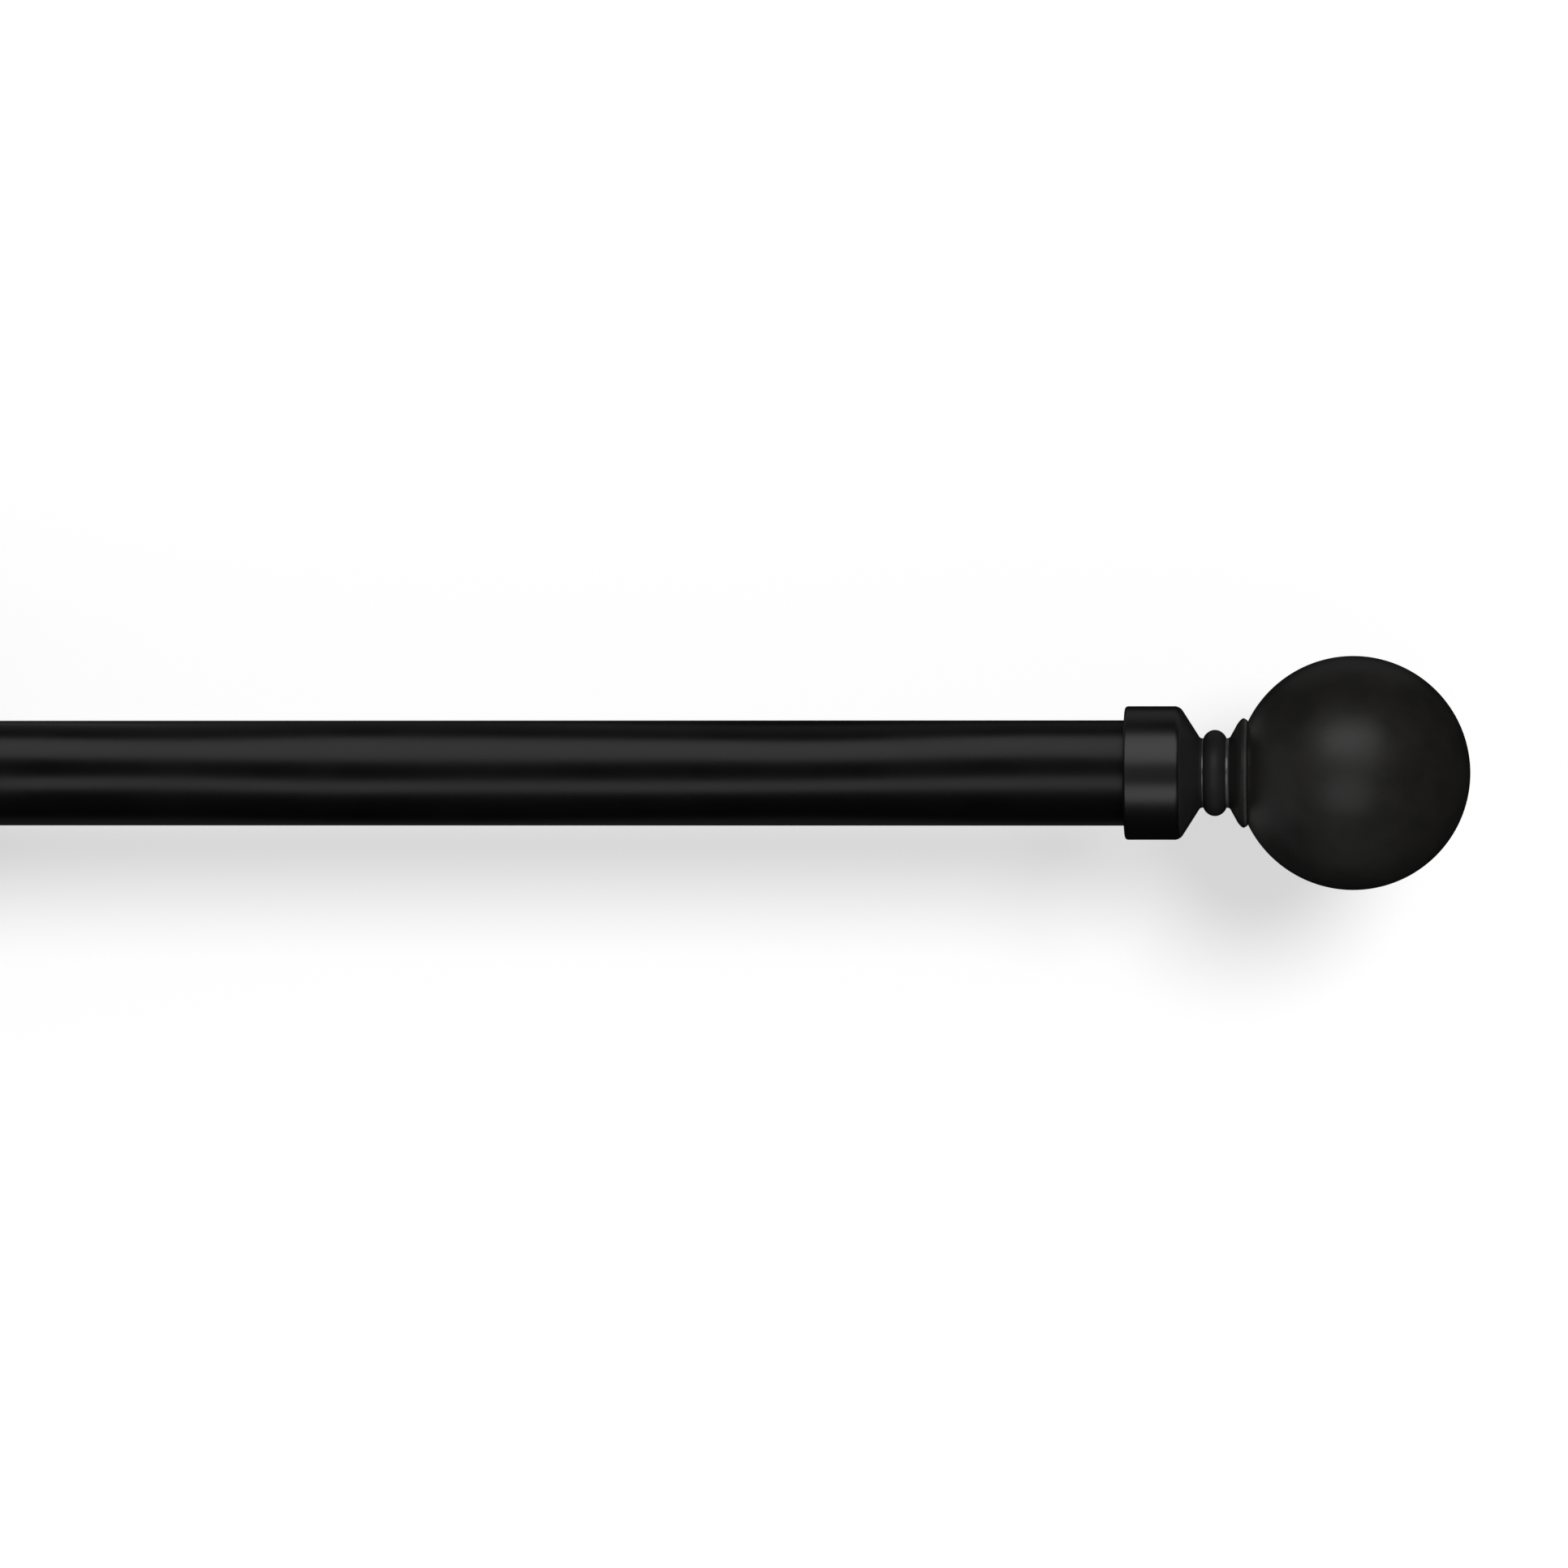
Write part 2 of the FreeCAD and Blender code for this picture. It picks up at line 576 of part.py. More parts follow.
def make_arm_post(side, sign):
    """The round post that slides in the sleeve, tapped in front for the cradle's screw."""
    piece = seat_piece(side, sign, "arm_post")
    tail = "Dims.reach - Dims.post_tail"
    hole_end = "Dims.back_boss_end + Dims.post_hole_depth"
    section = piece.sketch("XY_Plane")
    outline(section, [
        ("Dims.joint_screw_r", "Dims.back_boss_end"),
        ("Dims.post_r", "Dims.back_boss_end"),
        ("Dims.post_r", tail + " - Dims.post_bevel"),
        ("Dims.post_r - Dims.post_bevel", tail),
        ("0", tail),
        ("0", hole_end),
        ("Dims.joint_screw_r", hole_end),
    ])
    piece.revolve(section, "V_Axis")


def make_cradle(side, sign):
    """The open U that the rod drops into, with a boss behind it and one in front."""
    piece = seat_piece(side, sign, "cradle")
    inner, outer = "Dims.cradle_r", "(Dims.cradle_r + Dims.cradle_thick)"
    middle = "(Dims.cradle_r + Dims.cradle_thick / 2)"
    shape = piece.sketch("YZ_Plane")
    outline(shape, [
        (inner, "0", "0", "0", 1),
        (inner, "Dims.back_leg"),
        (outer, "Dims.back_leg", middle, "Dims.back_leg", -1),
        (outer, "0"),
        ("-" + outer, "0", "0", "0", -1),
        ("-" + outer, "Dims.front_leg"),
        ("-" + inner, "Dims.front_leg", "-" + middle, "Dims.front_leg", -1),
        ("-" + inner, "0"),
    ])
    piece.pad(shape, "Dims.cradle_width", midplane=True)
    side_x = value("Dims.cradle_width / 2")
    piece.dress("Fillet", {"Radius": "Dims.cradle_edge"},
                lambda edge: abs(abs(edge.CenterOfMass.x) - side_x) < EDGE_TOLERANCE)
    back = piece.sketch("XZ_Plane", "-Dims.back_boss_end")
    disc(back, "Dims.back_boss_r")
    piece.pad(back, "Dims.back_boss_end - Dims.boss_root")
    front = piece.sketch("XZ_Plane", "Dims.boss_root")
    disc(front, "Dims.front_boss_r")
    piece.pad(front, "Dims.front_boss_end - Dims.boss_root")
    tapped = piece.sketch("XZ_Plane", "Dims.front_boss_end")
    disc(tapped, "Dims.front_hole_r")
    piece.pocket(tapped, "Dims.front_boss_end")
    sink = "Dims.joint_screw_top + Dims.joint_screw_head_r - Dims.joint_hole_r"
    screw_way = piece.sketch("XY_Plane")
    outline(screw_way, [
        ("0", "0"),
        ("Dims.joint_screw_head_r", "0"),
        ("Dims.joint_screw_head_r", "Dims.joint_screw_top"),
        ("Dims.joint_hole_r", sink),
        ("Dims.joint_hole_r", "Dims.back_boss_end"),
        ("0", "Dims.back_boss_end"),
    ])
    piece.groove(screw_way, "V_Axis")


def make_cradle_screw(side, sign):
    """The M4 countersunk screw that holds the cradle on the arm post."""
    piece = seat_piece(side, sign, "cradle_screw")
    neck = "Dims.joint_screw_top + Dims.joint_screw_head_r - Dims.joint_screw_r"
    end = "Dims.joint_screw_top + Dims.joint_screw_length"
    section = piece.sketch("XY_Plane")
    outline(section, [
        ("0", "Dims.joint_screw_top"),
        ("Dims.joint_screw_head_r", "Dims.joint_screw_top"),
        ("Dims.joint_screw_r", neck),
        ("Dims.joint_screw_r", end),
        ("0", end),
    ])
    piece.revolve(section, "V_Axis")


def make_thumb_pad(side, sign):
    """The nylon pad on the thumbscrew's nose, which bears on the rod without marking it."""
    piece = seat_piece(side, sign, "thumb_pad")
    bore = "Dims.nose_r + Dims.run_fit"
    section = piece.sketch("XY_Plane")
    outline(section, [
        ("0", "-Dims.pad_face"),
        ("Dims.pad_r", "-Dims.pad_face"),
        ("Dims.pad_r", "-Dims.pad_back"),
        (bore, "-Dims.pad_back"),
        (bore, "-Dims.pad_bore_end"),
        ("0", "-Dims.pad_bore_end"),
    ])
    piece.revolve(section, "V_Axis")


def make_thumbscrew(side, sign):
    """The M5 thumbscrew in the cradle's front boss, with a fluted head."""
    piece = seat_piece(side, sign, "thumbscrew")
    bevel_r = "Dims.thumb_head_r - Dims.thumb_bevel"
    section = piece.sketch("XY_Plane")
    outline(section, [
        ("0", "-Dims.nose_end"),
        ("Dims.nose_r", "-Dims.nose_end"),
        ("Dims.nose_r", "-Dims.thumb_thread_start"),
        ("Dims.thumb_thread_r", "-Dims.thumb_thread_start"),
        ("Dims.thumb_thread_r", "-Dims.thumb_shoulder"),
        ("Dims.thumb_shoulder_r", "-Dims.thumb_shoulder"),
        ("Dims.thumb_shoulder_r", "-Dims.thumb_head"),
        (bevel_r, "-Dims.thumb_head"),
        ("Dims.thumb_head_r", "-Dims.thumb_head - Dims.thumb_bevel"),
        ("Dims.thumb_head_r", "-Dims.thumb_head_end + Dims.thumb_bevel"),
        (bevel_r, "-Dims.thumb_head_end"),
        ("0", "-Dims.thumb_head_end"),
    ])
    piece.revolve(section, "V_Axis")
    flute = piece.sketch("XZ_Plane", "Dims.thumb_head_end")
    disc(flute, "Dims.flute_r", "Dims.flute_at")
    cut = piece.pocket(flute, "Dims.thumb_head_end - Dims.thumb_head")
    piece.repeat("PolarPattern", [cut], Axis=(piece.plane("Y_Axis"), [""]), Angle=360,
                 Occurrences=FLUTES)


# The wall fixings


def make_wall_screws(side, sign):
    """Two countersunk wood screws, one above the arm and one below it."""
    piece = wall_piece(side, sign, "wall_screws")
    top = "-Dims.plate_thick + Dims.screw_set"
    neck = top + " + Dims.screw_head"
    end = top + " + Dims.screw_length"
    section = piece.sketch("XY_Plane", "Dims.fixing_z")
    outline(section, [
        ("0", top),
        ("Dims.screw_head_r", top),
        ("Dims.screw_shank_r", neck),
        ("Dims.screw_shank_r", "0"),
        ("Dims.screw_r", "0"),
        ("Dims.screw_r", end + " - Dims.screw_point"),
        ("0", end),
    ])
    screw = piece.revolve(section, "V_Axis")
    piece.repeat("Mirrored", [screw], MirrorPlane=(piece.plane("XY_Plane"), [""]))


def check_document():
    """Stops on any failed object, and on any sub-part without a sound shape."""
    for item in DOC.Objects:
        if "Invalid" in item.State or "Error" in item.State:
            raise ValueError("%s failed: %s" % (item.Name, item.State))
    for piece in PIECES:
        shape = piece.body.Shape
        if shape.isNull() or not shape.isValid() or shape.Volume <= 0:
            raise ValueError("%s has no sound shape" % piece.label)


def main():
    """Builds every sub-part, checks the document and writes one STEP file for each."""
    fill_sheet()
    make_outer_tube()
    make_inner_tube()
    make_mouth_bush()
    make_inner_glide()
    make_reducer_sleeve()
    make_tube_end("right", 1, "Dims.outer_r - Dims.outer_wall", "Dims.outer_r")
    make_tube_end("left", -1, "Dims.inner_r - Dims.inner_wall", "Dims.inner_r")
    for side, sign in SIDES:
        for make in (make_end_cap, make_neck_spool, make_ball, make_ball_insert, make_stud,
                     make_wall_plate, make_arm_sleeve, make_lock_screw, make_arm_post,
                     make_cradle, make_cradle_screw, make_thumb_pad, make_thumbscrew,
                     make_wall_screws):
            make(side, sign)
    DOC.recompute()
    check_document()
    os.makedirs("parts", exist_ok=True)
    for piece in PIECES:
        piece.body.Shape.exportStep("parts/%s.step" % piece.label)


main()
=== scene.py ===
"""A telescopic curtain rod with ball finials, held in open cradles on two projecting wall brackets."""

import json
import logging
import math
from collections.abc import Callable, Iterable
from dataclasses import dataclass, field
from enum import Enum

import bmesh
import bpy
from mathutils import Matrix, Vector

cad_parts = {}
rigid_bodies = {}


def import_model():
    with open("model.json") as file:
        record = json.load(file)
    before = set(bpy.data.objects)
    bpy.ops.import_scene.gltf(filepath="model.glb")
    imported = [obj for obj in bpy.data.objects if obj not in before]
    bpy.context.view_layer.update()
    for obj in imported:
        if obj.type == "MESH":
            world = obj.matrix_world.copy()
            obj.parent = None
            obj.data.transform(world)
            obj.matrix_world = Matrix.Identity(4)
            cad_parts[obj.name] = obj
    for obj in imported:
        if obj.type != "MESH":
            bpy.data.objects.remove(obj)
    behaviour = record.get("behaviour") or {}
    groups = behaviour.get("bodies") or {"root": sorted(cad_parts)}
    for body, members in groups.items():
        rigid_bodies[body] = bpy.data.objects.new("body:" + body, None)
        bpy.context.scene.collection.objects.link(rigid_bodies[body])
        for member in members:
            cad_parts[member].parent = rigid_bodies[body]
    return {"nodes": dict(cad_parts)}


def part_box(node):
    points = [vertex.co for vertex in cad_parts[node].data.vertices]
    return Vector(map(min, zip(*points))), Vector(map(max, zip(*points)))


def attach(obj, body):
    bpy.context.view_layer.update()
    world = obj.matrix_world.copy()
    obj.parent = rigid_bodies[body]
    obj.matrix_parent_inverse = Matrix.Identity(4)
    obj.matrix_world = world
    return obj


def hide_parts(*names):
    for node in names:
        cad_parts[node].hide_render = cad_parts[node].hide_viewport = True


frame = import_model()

LOG = logging.getLogger("curtain_rod")
MM = 0.001
TURN = 2 * math.pi
ROUND_STEPS = 96
SMOOTH_ANGLE = math.radians(32)


class Side(Enum):
    """The two ends of the rod: +1 is the outer tube's end, -1 the inner tube's."""

    RIGHT = 1
    LEFT = -1

    @property
    def word(self) -> str:
        """The side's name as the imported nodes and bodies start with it."""
        return self.name.lower()


class Drive(Enum):
    """The recess that turns a screw, by its number of sides."""

    CROSS = 4
    HEX = 6


# ---------------------------------------------------------------- finishes


def linear(hex_colour: str) -> tuple[float, float, float, float]:
    """Turns an sRGB colour into the linear RGBA that the shaders take.

    Args:
        hex_colour: six hex digits.

    Returns:
        Linear red, green, blue and an alpha of 1.
    """
    parts = [int(hex_colour[i:i + 2], 16) / 255 for i in (0, 2, 4)]
    red, green, blue = (c / 12.92 if c <= 0.04045 else ((c + 0.055) / 1.055) ** 2.4 for c in parts)
    return red, green, blue, 1.0


def add_node(tree: bpy.types.NodeTree, kind: str, values: dict | None = None,
             links: dict | None = None, **settings: object) -> bpy.types.Node:
    """Adds a shader node with its settings, socket values and links.

    Args:
        tree: the node tree.
        kind: the node's type.
        values: constants by input name or number.
        links: output sockets by input name or number.
        **settings: attributes of the node.

    Returns:
        The new node.
    """
    made = tree.nodes.new(kind)
    for name, value in settings.items():
        setattr(made, name, value)
    for name, value in (values or {}).items():
        made.inputs[name].default_value = value
    for name, socket in (links or {}).items():
        tree.links.new(socket, made.inputs[name])
    return made


@dataclass(frozen=True)
class Finish:
    """What every finish shares: a shader, a mottled gloss and a grain that stands up from the surface."""

    name: str
    colour: str
    worn: str
    roughness: float
    spread: float
    grain_mm: float
    grain_depth_mm: float
    ior: float = 1.5
    metallic: float = 0.0

    def material(self) -> bpy.types.Material:
        """Makes the finish's material.

        Returns:
            A material whose colour, gloss and relief come from noise in real millimetres.
        """
        made = bpy.data.materials.new(self.name)
        made.use_nodes = True
        tree = made.node_tree
        tree.nodes.clear()
        place = add_node(tree, "ShaderNodeTexCoord").outputs["Object"]
        shader = add_node(tree, "ShaderNodeBsdfPrincipled", {"Metallic": self.metallic})
        if not self.metallic:
            shader.inputs["IOR"].default_value = self.ior
        mottle = self.noise(tree, place, self.grain_mm * 9, 3.0)
        tone = add_node(tree, "ShaderNodeValToRGB", links={"Fac": mottle})
        tone.color_ramp.elements[0].position = 0.3
        tone.color_ramp.elements[0].color = linear(self.colour)
        tone.color_ramp.elements[1].position = 0.72
        tone.color_ramp.elements[1].color = linear(self.worn)
        gloss = add_node(tree, "ShaderNodeMapRange", {
            "From Min": 0.3, "From Max": 0.7, "To Min": self.roughness - self.spread,
            "To Max": self.roughness + self.spread}, {"Value": mottle})
        tree.links.new(tone.outputs["Color"], shader.inputs["Base Color"])
        tree.links.new(gloss.outputs["Result"], shader.inputs["Roughness"])
        tree.links.new(self.relief(tree, place), shader.inputs["Normal"])
        add_node(tree, "ShaderNodeOutputMaterial", links={"Surface": shader.outputs["BSDF"]})
        return made

    def relief(self, tree: bpy.types.NodeTree, place: bpy.types.NodeSocket) -> bpy.types.NodeSocket:
        """The finish's grain as a bumped normal."""
        return self.bump(tree, self.noise(tree, place, self.grain_mm, 2.0), self.grain_depth_mm)

    @staticmethod
    def noise(tree: bpy.types.NodeTree, place: bpy.types.NodeSocket, size_mm: float,
              detail: float) -> bpy.types.NodeSocket:
        """A noise whose lumps are size_mm across."""
        return add_node(tree, "ShaderNodeTexNoise", {"Scale": 1 / (size_mm * MM), "Detail": detail},
                        {"Vector": place}).outputs["Fac"]

    @staticmethod
    def bump(tree: bpy.types.NodeTree, height: bpy.types.NodeSocket, depth_mm: float,
             under: bpy.types.NodeSocket | None = None) -> bpy.types.NodeSocket:
        """Bumps the normal by a height of depth_mm from trough to crest, over another bump if given."""
        links = {"Height": height} | ({"Normal": under} if under else {})
        return add_node(tree, "ShaderNodeBump", {"Strength": 1.0, "Distance": depth_mm * MM},
                        links).outputs["Normal"]


@dataclass(frozen=True)
class PowderCoat(Finish):
    """Satin polyester powder coat: a faint orange peel, over a tube that isn't quite true."""

    wave_along_mm: float = 80.0
    wave_round_mm: float = 40.0
    wave_depth_mm: float = 0.0

    def relief(self, tree: bpy.types.NodeTree, place: bpy.types.NodeSocket) -> bpy.types.NodeSocket:
        """Orange peel over the slow waviness that rolling leaves along a tube."""
        peel = self.bump(tree, self.noise(tree, place, self.grain_mm, 1.0), self.grain_depth_mm)
        if not self.wave_depth_mm:
            return peel
        drawn = add_node(tree, "ShaderNodeMapping",
                         {"Scale": (self.wave_round_mm / self.wave_along_mm, 1.0, 1.0)},
                         {"Vector": place}, vector_type="POINT").outputs["Vector"]
        return self.bump(tree, self.noise(tree, drawn, self.wave_round_mm, 0.0),
                         self.wave_depth_mm, peel)


@dataclass(frozen=True)
class TurnedMetal(Finish):
    """Bare or plated metal off a lathe: fine rings left by the tool's feed along its axis."""

    feed_mm: float = 0.25
    feed_depth_mm: float = 0.004
    axis: str = "X"

    def relief(self, tree: bpy.types.NodeTree, place: bpy.types.NodeSocket) -> bpy.types.NodeSocket:
        """Tool rings over the metal's own grain."""
        grain = super().relief(tree, place)
        # A wave texture has a crest every 0.314 units at scale 1.
        rings = add_node(tree, "ShaderNodeTexWave",
                         {"Scale": 0.314 / (self.feed_mm * MM), "Distortion": 0.0},
                         {"Vector": place}, wave_type="BANDS", bands_direction=self.axis)
        return self.bump(tree, rings.outputs["Fac"], self.feed_depth_mm, grain)


# Polyester powder, cured: near black, a soft wide sheen and a peel of about 2.5 mm.
TUBE_COAT = PowderCoat("satin_powder_coat_tube", "030303", "070707", 0.32, 0.03, 2.5, 0.012,
                       wave_depth_mm=6.0)
BRACKET_COAT = PowderCoat("satin_powder_coat_bracket", "121212", "191918", 0.34, 0.04, 1.8, 0.014)
# Sprayed lacquer on die-cast zinc: glossier than powder, with a little of the casting's ripple.
CUP_LACQUER = Finish("satin_lacquer_on_cast_zinc", "040404", "090808", 0.33, 0.03, 3.0, 0.008, ior=1.82)
# The same lacquer over a turned neck, sprayed thin and drier: its small curves show only soft light.
NECK_LACQUER = Finish("thin_lacquer_on_turned_zinc", "1e1d1d", "242323", 0.42, 0.04, 1.2, 0.01, ior=1.32)
# In the quirks beside the bead and along the seam: a glossier lacquer whose hair-fine paler line is a
# painted highlight, standing in for the glints these edges catch.
PAINTED_GLINT_LACQUER = Finish("rubbed_lacquer_edge", "383735", "4a4946", 0.3, 0.05, 0.6, 0.006, ior=2.0)
# Matt lacquer on cast resin: a dry, faintly warm black with a fine tooth that spreads any light.
BALL_LACQUER = Finish("matt_lacquer_on_resin", "1a1918", "201e1d", 0.4, 0.03, 0.8, 0.014, ior=1.55)
# Hot black oxide on steel: dark blue-black, thin enough that the steel's shine comes through.
BLACK_OXIDE = TurnedMetal("black_oxide_steel", "1b1c1f", "2b2a2b", 0.38, 0.06, 0.6, 0.006, metallic=1.0,
                          axis="Y")
# Bright zinc plate on a rolled thread: pale, slightly blue, with cloudy patches.
ZINC_PLATE = TurnedMetal("bright_zinc_plate", "b9bdc4", "8f9298", 0.28, 0.08, 0.9, 0.004, metallic=1.0)
# Turned free-cutting brass: yellow, with the tool's rings.
TURNED_BRASS = TurnedMetal("turned_brass", "c9a45c", "a98444", 0.24, 0.06, 0.7, 0.004, metallic=1.0,
                           feed_mm=0.2)
# Moulded nylon, black and undyed: a spark-eroded mould's fine matt.
BLACK_NYLON = Finish("moulded_black_nylon", "121213", "1a1a1b", 0.45, 0.06, 0.5, 0.012, ior=1.53)
UNDYED_NYLON = Finish("moulded_undyed_nylon", "e2dfd4", "d5d0c2", 0.42, 0.06, 0.5, 0.012, ior=1.53)


class Paints:
    """Makes each finish's material once and hands it out."""

    def __init__(self) -> None:
        """Starts with no material made."""
        self.made: dict[Finish, bpy.types.Material] = {}

    def dress(self, obj: bpy.types.Object, finish: Finish) -> None:
        """Gives the whole object one finish.

        Args:
            obj: a mesh object, new or carried over from the frame.
            finish: the finish to give it.
        """
        if finish not in self.made:
            self.made[finish] = finish.material()
        if not obj.material_slots:
            obj.data.materials.append(self.made[finish])
        for slot in obj.material_slots:
            slot.material = self.made[finish]

    def touch(self, obj: bpy.types.Object, finish: Finish, chosen: Callable[[Vector], bool]) -> None:
        """Gives some of a dressed object's faces another finish.

        Args:
            obj: a mesh object that already has its main finish.
            finish: the other finish.
            chosen: tells from a face's middle, in metres, whether it is one of them.
        """
        if finish not in self.made:
            self.made[finish] = finish.material()
        obj.data.materials.append(self.made[finish])
        for face in obj.data.polygons:
            if chosen(face.center):
                face.material_index = len(obj.data.materials) - 1


PAINTS = Paints()


# ---------------------------------------------------------------- shapes


@dataclass(frozen=True)
class Corner:
    """A corner of a turned outline, in mm: its place along and off the axis, and its rounding."""

    along: float
    off: float
    rounding: float = 0.0


def blank() -> bmesh.types.BMesh:
    """An empty bmesh."""
    return bmesh.new()


def outline(bm: bmesh.types.BMesh, corners: Iterable[Corner], closed: bool) -> None:
    """Draws an outline of straight edges in the XZ plane and rounds its corners.

    Args:
        bm: the bmesh to draw in.
        corners: the outline's corners in order.
        closed: whether the last corner joins the first.
    """
    corners = list(corners)
    verts = [bm.verts.new((c.along, 0, c.off)) for c in corners]
    for first, second in zip(verts, verts[1:] + verts[:1] if closed else verts[1:]):
        bm.edges.new((first, second))
    for corner, vert in zip(corners, verts):
        if corner.rounding:
            bmesh.ops.bevel(bm, geom=[vert], offset=corner.rounding, offset_type="OFFSET", segments=8,
                            profile=0.5, affect="VERTICES", material=-1, clamp_overlap=True)


def turn(corners: Iterable[Corner], steps: int = ROUND_STEPS, closed: bool = False,
         cuts: int = 0) -> bmesh.types.BMesh:
    """Turns an outline round the X axis.

    Args:
        corners: the outline, in mm. It ends on the axis unless it is closed.
        steps: how many steps go round.
        closed: True for a ring or tube, whose outline meets itself.
        cuts: extra cuts in every straight edge that runs along the axis.

    Returns:
        A closed solid in mm, with its normals outwards.
    """
    bm = blank()
    outline(bm, corners, closed)
    if cuts:
        along = [e for e in bm.edges if abs(e.verts[0].co.z - e.verts[1].co.z) < 1e-6]
        bmesh.ops.subdivide_edges(bm, edges=along, cuts=cuts)
    bmesh.ops.spin(bm, geom=bm.verts[:] + bm.edges[:], cent=(0, 0, 0), axis=(1, 0, 0), angle=TURN,
                   steps=steps, use_merge=True)
    tidy(bm)
    return bm


def tidy(bm: bmesh.types.BMesh) -> None:
    """Merges doubles and turns every face outwards."""
    bmesh.ops.remove_doubles(bm, verts=bm.verts, dist=1e-5)
    bmesh.ops.dissolve_degenerate(bm, edges=bm.edges, dist=1e-5)
    bmesh.ops.recalc_face_normals(bm, faces=bm.faces)


def bevel(bm: bmesh.types.BMesh, geom: list, offset: float, segments: int, affect: str = "EDGES") -> None:
    """Rounds edges or corners."""
    bmesh.ops.bevel(bm, geom=geom, offset=offset, offset_type="OFFSET", segments=segments, profile=0.5,
                    affect=affect, material=-1)


def shift(bm: bmesh.types.BMesh, geom: list, *by: float) -> None:
    """Moves the points among what an operator made."""
    bmesh.ops.translate(bm, verts=[g for g in geom if isinstance(g, bmesh.types.BMVert)], vec=by)


def thread(bm: bmesh.types.BMesh, start: float, end: float, pitch: float, depth: float,
           floor: float) -> None:
    """Presses a right-handed thread into a turned shank round the X axis.

    Args:
        bm: the turned piece, in mm, with cuts along its shank.
        start: where the thread begins along X.
        end: where it ends.
        pitch: from crest to crest.
        depth: from crest to root.
        floor: points nearer to the axis than this are left alone.
    """
    for vert in bm.verts:
        off = math.hypot(vert.co.y, vert.co.z)
        if not start < vert.co.x < end or off < floor:
            continue
        phase = (vert.co.x / pitch + math.atan2(vert.co.z, vert.co.y) / TURN) % 1
        fade = min(1, (vert.co.x - start) / pitch, (end - vert.co.x) / pitch)
        scale = 1 - depth * fade * (1 - abs(2 * phase - 1)) / off
        vert.co.y *= scale
        vert.co.z *= scale


def place(bm: bmesh.types.BMesh, name: str, matrix: Matrix) -> bpy.types.Object:
    """Makes an object of a piece drawn in mm, with its place in its mesh.

    Args:
        bm: the piece, which is used up.
        name: the object's name.
        matrix: where the piece goes, with its shift in metres and no mirroring.

    Returns:
        The object, at the origin, unturned and unscaled.
    """
    bmesh.ops.transform(bm, matrix=matrix @ Matrix.Scale(MM, 4), verts=bm.verts)
    mesh = bpy.data.meshes.new(name)
    bm.to_mesh(mesh)
    bm.free()
    mesh.shade_smooth()
    mesh.set_sharp_from_angle(angle=SMOOTH_ANGLE)
    made = bpy.data.objects.new(name, mesh)
    bpy.context.scene.collection.objects.link(made)
    return made


def combine(obj: bpy.types.Object, operation: str, others: Iterable[bpy.types.Object]) -> None:
    """Cuts other solids from an object, or joins them on, and removes them.

    Args:
        obj: the object to change.
        operation: DIFFERENCE or UNION.
        others: the solids, which are used up.
    """
    for other in others:
        step = obj.modifiers.new(operation.title(), "BOOLEAN")
        step.operation, step.object, step.solver = operation, other, "EXACT"
        bpy.context.view_layer.update()
        made = bpy.data.meshes.new_from_object(obj.evaluated_get(bpy.context.evaluated_depsgraph_get()))
        obj.modifiers.clear()
        old, obj.data = obj.data, made
        bpy.data.meshes.remove(old)
        bpy.data.objects.remove(other)
    obj.data.shade_smooth()
    obj.data.set_sharp_from_angle(angle=SMOOTH_ANGLE)


def recess(drive: Drive, across: float, depth: float) -> bmesh.types.BMesh:
    """The solid that cuts a screw's drive recess, down the X axis from x = 0.

    Args:
        drive: which recess.
        across: the hexagon's width across flats, or the cross's full width.
        depth: how deep it goes.

    Returns:
        A closed solid in mm that stands a little proud of x = 0.
    """
    proud = 0.2
    bm = blank()
    if drive is Drive.HEX:
        bmesh.ops.create_cone(bm, cap_ends=True, segments=6, radius1=across / math.sqrt(3),
                              radius2=across / math.sqrt(3), depth=depth + proud)
        bmesh.ops.rotate(bm, verts=bm.verts, cent=(0, 0, 0), matrix=Matrix.Rotation(math.pi / 2, 3, "Y"))
    else:
        arm = bmesh.ops.create_cube(bm, size=1)["verts"]
        bmesh.ops.scale(bm, verts=arm, vec=(depth + proud, across, across / 5))
        ends = [f for f in bm.faces if abs(f.normal.y) > 0.9]
        for end in ends:
            bmesh.ops.translate(bm, verts=[v for v in end.verts if v.co.x > 0],
                                vec=(0, -math.copysign(across * 0.3, end.normal.y), 0))
    bmesh.ops.translate(bm, verts=bm.verts, vec=((depth - proud) / 2, 0, 0))
    bmesh.ops.recalc_face_normals(bm, faces=bm.faces)
    return bm


def along(axis: Vector, origin: Vector) -> Matrix:
    """A placement that turns a piece's X axis to an axis and moves it to an origin, in metres."""
    return Matrix.Translation(origin) @ axis.to_track_quat("X", "Z").to_matrix().to_4x4()


def middle(node: str) -> Vector:
    """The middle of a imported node's box."""
    low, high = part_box(node)
    return (low + high) / 2


def half(node: str, axis: int = 2) -> float:
    """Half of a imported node's size along an axis, in mm."""
    low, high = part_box(node)
    return (high[axis] - low[axis]) / 2 / MM


def finish_piece(obj: bpy.types.Object, body: str, finish: Finish, slot: str, *nodes: str) -> None:
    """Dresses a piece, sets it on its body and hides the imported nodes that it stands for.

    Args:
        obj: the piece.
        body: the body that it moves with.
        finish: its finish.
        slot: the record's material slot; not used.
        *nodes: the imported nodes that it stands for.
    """
    PAINTS.dress(obj, finish)
    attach(obj, body)
    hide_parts(*nodes)
    LOG.info("%s: %d faces, on %s", obj.name, len(obj.data.polygons), body)


@dataclass
class Sided:
    """A sub-assembly that is made once for each side."""

    side: Side

    def node(self, name: str) -> str:
        """A node's, body's or piece's full name on this side."""
        return f"{self.side.word}_{name}"


# ---------------------------------------------------------------- the rod


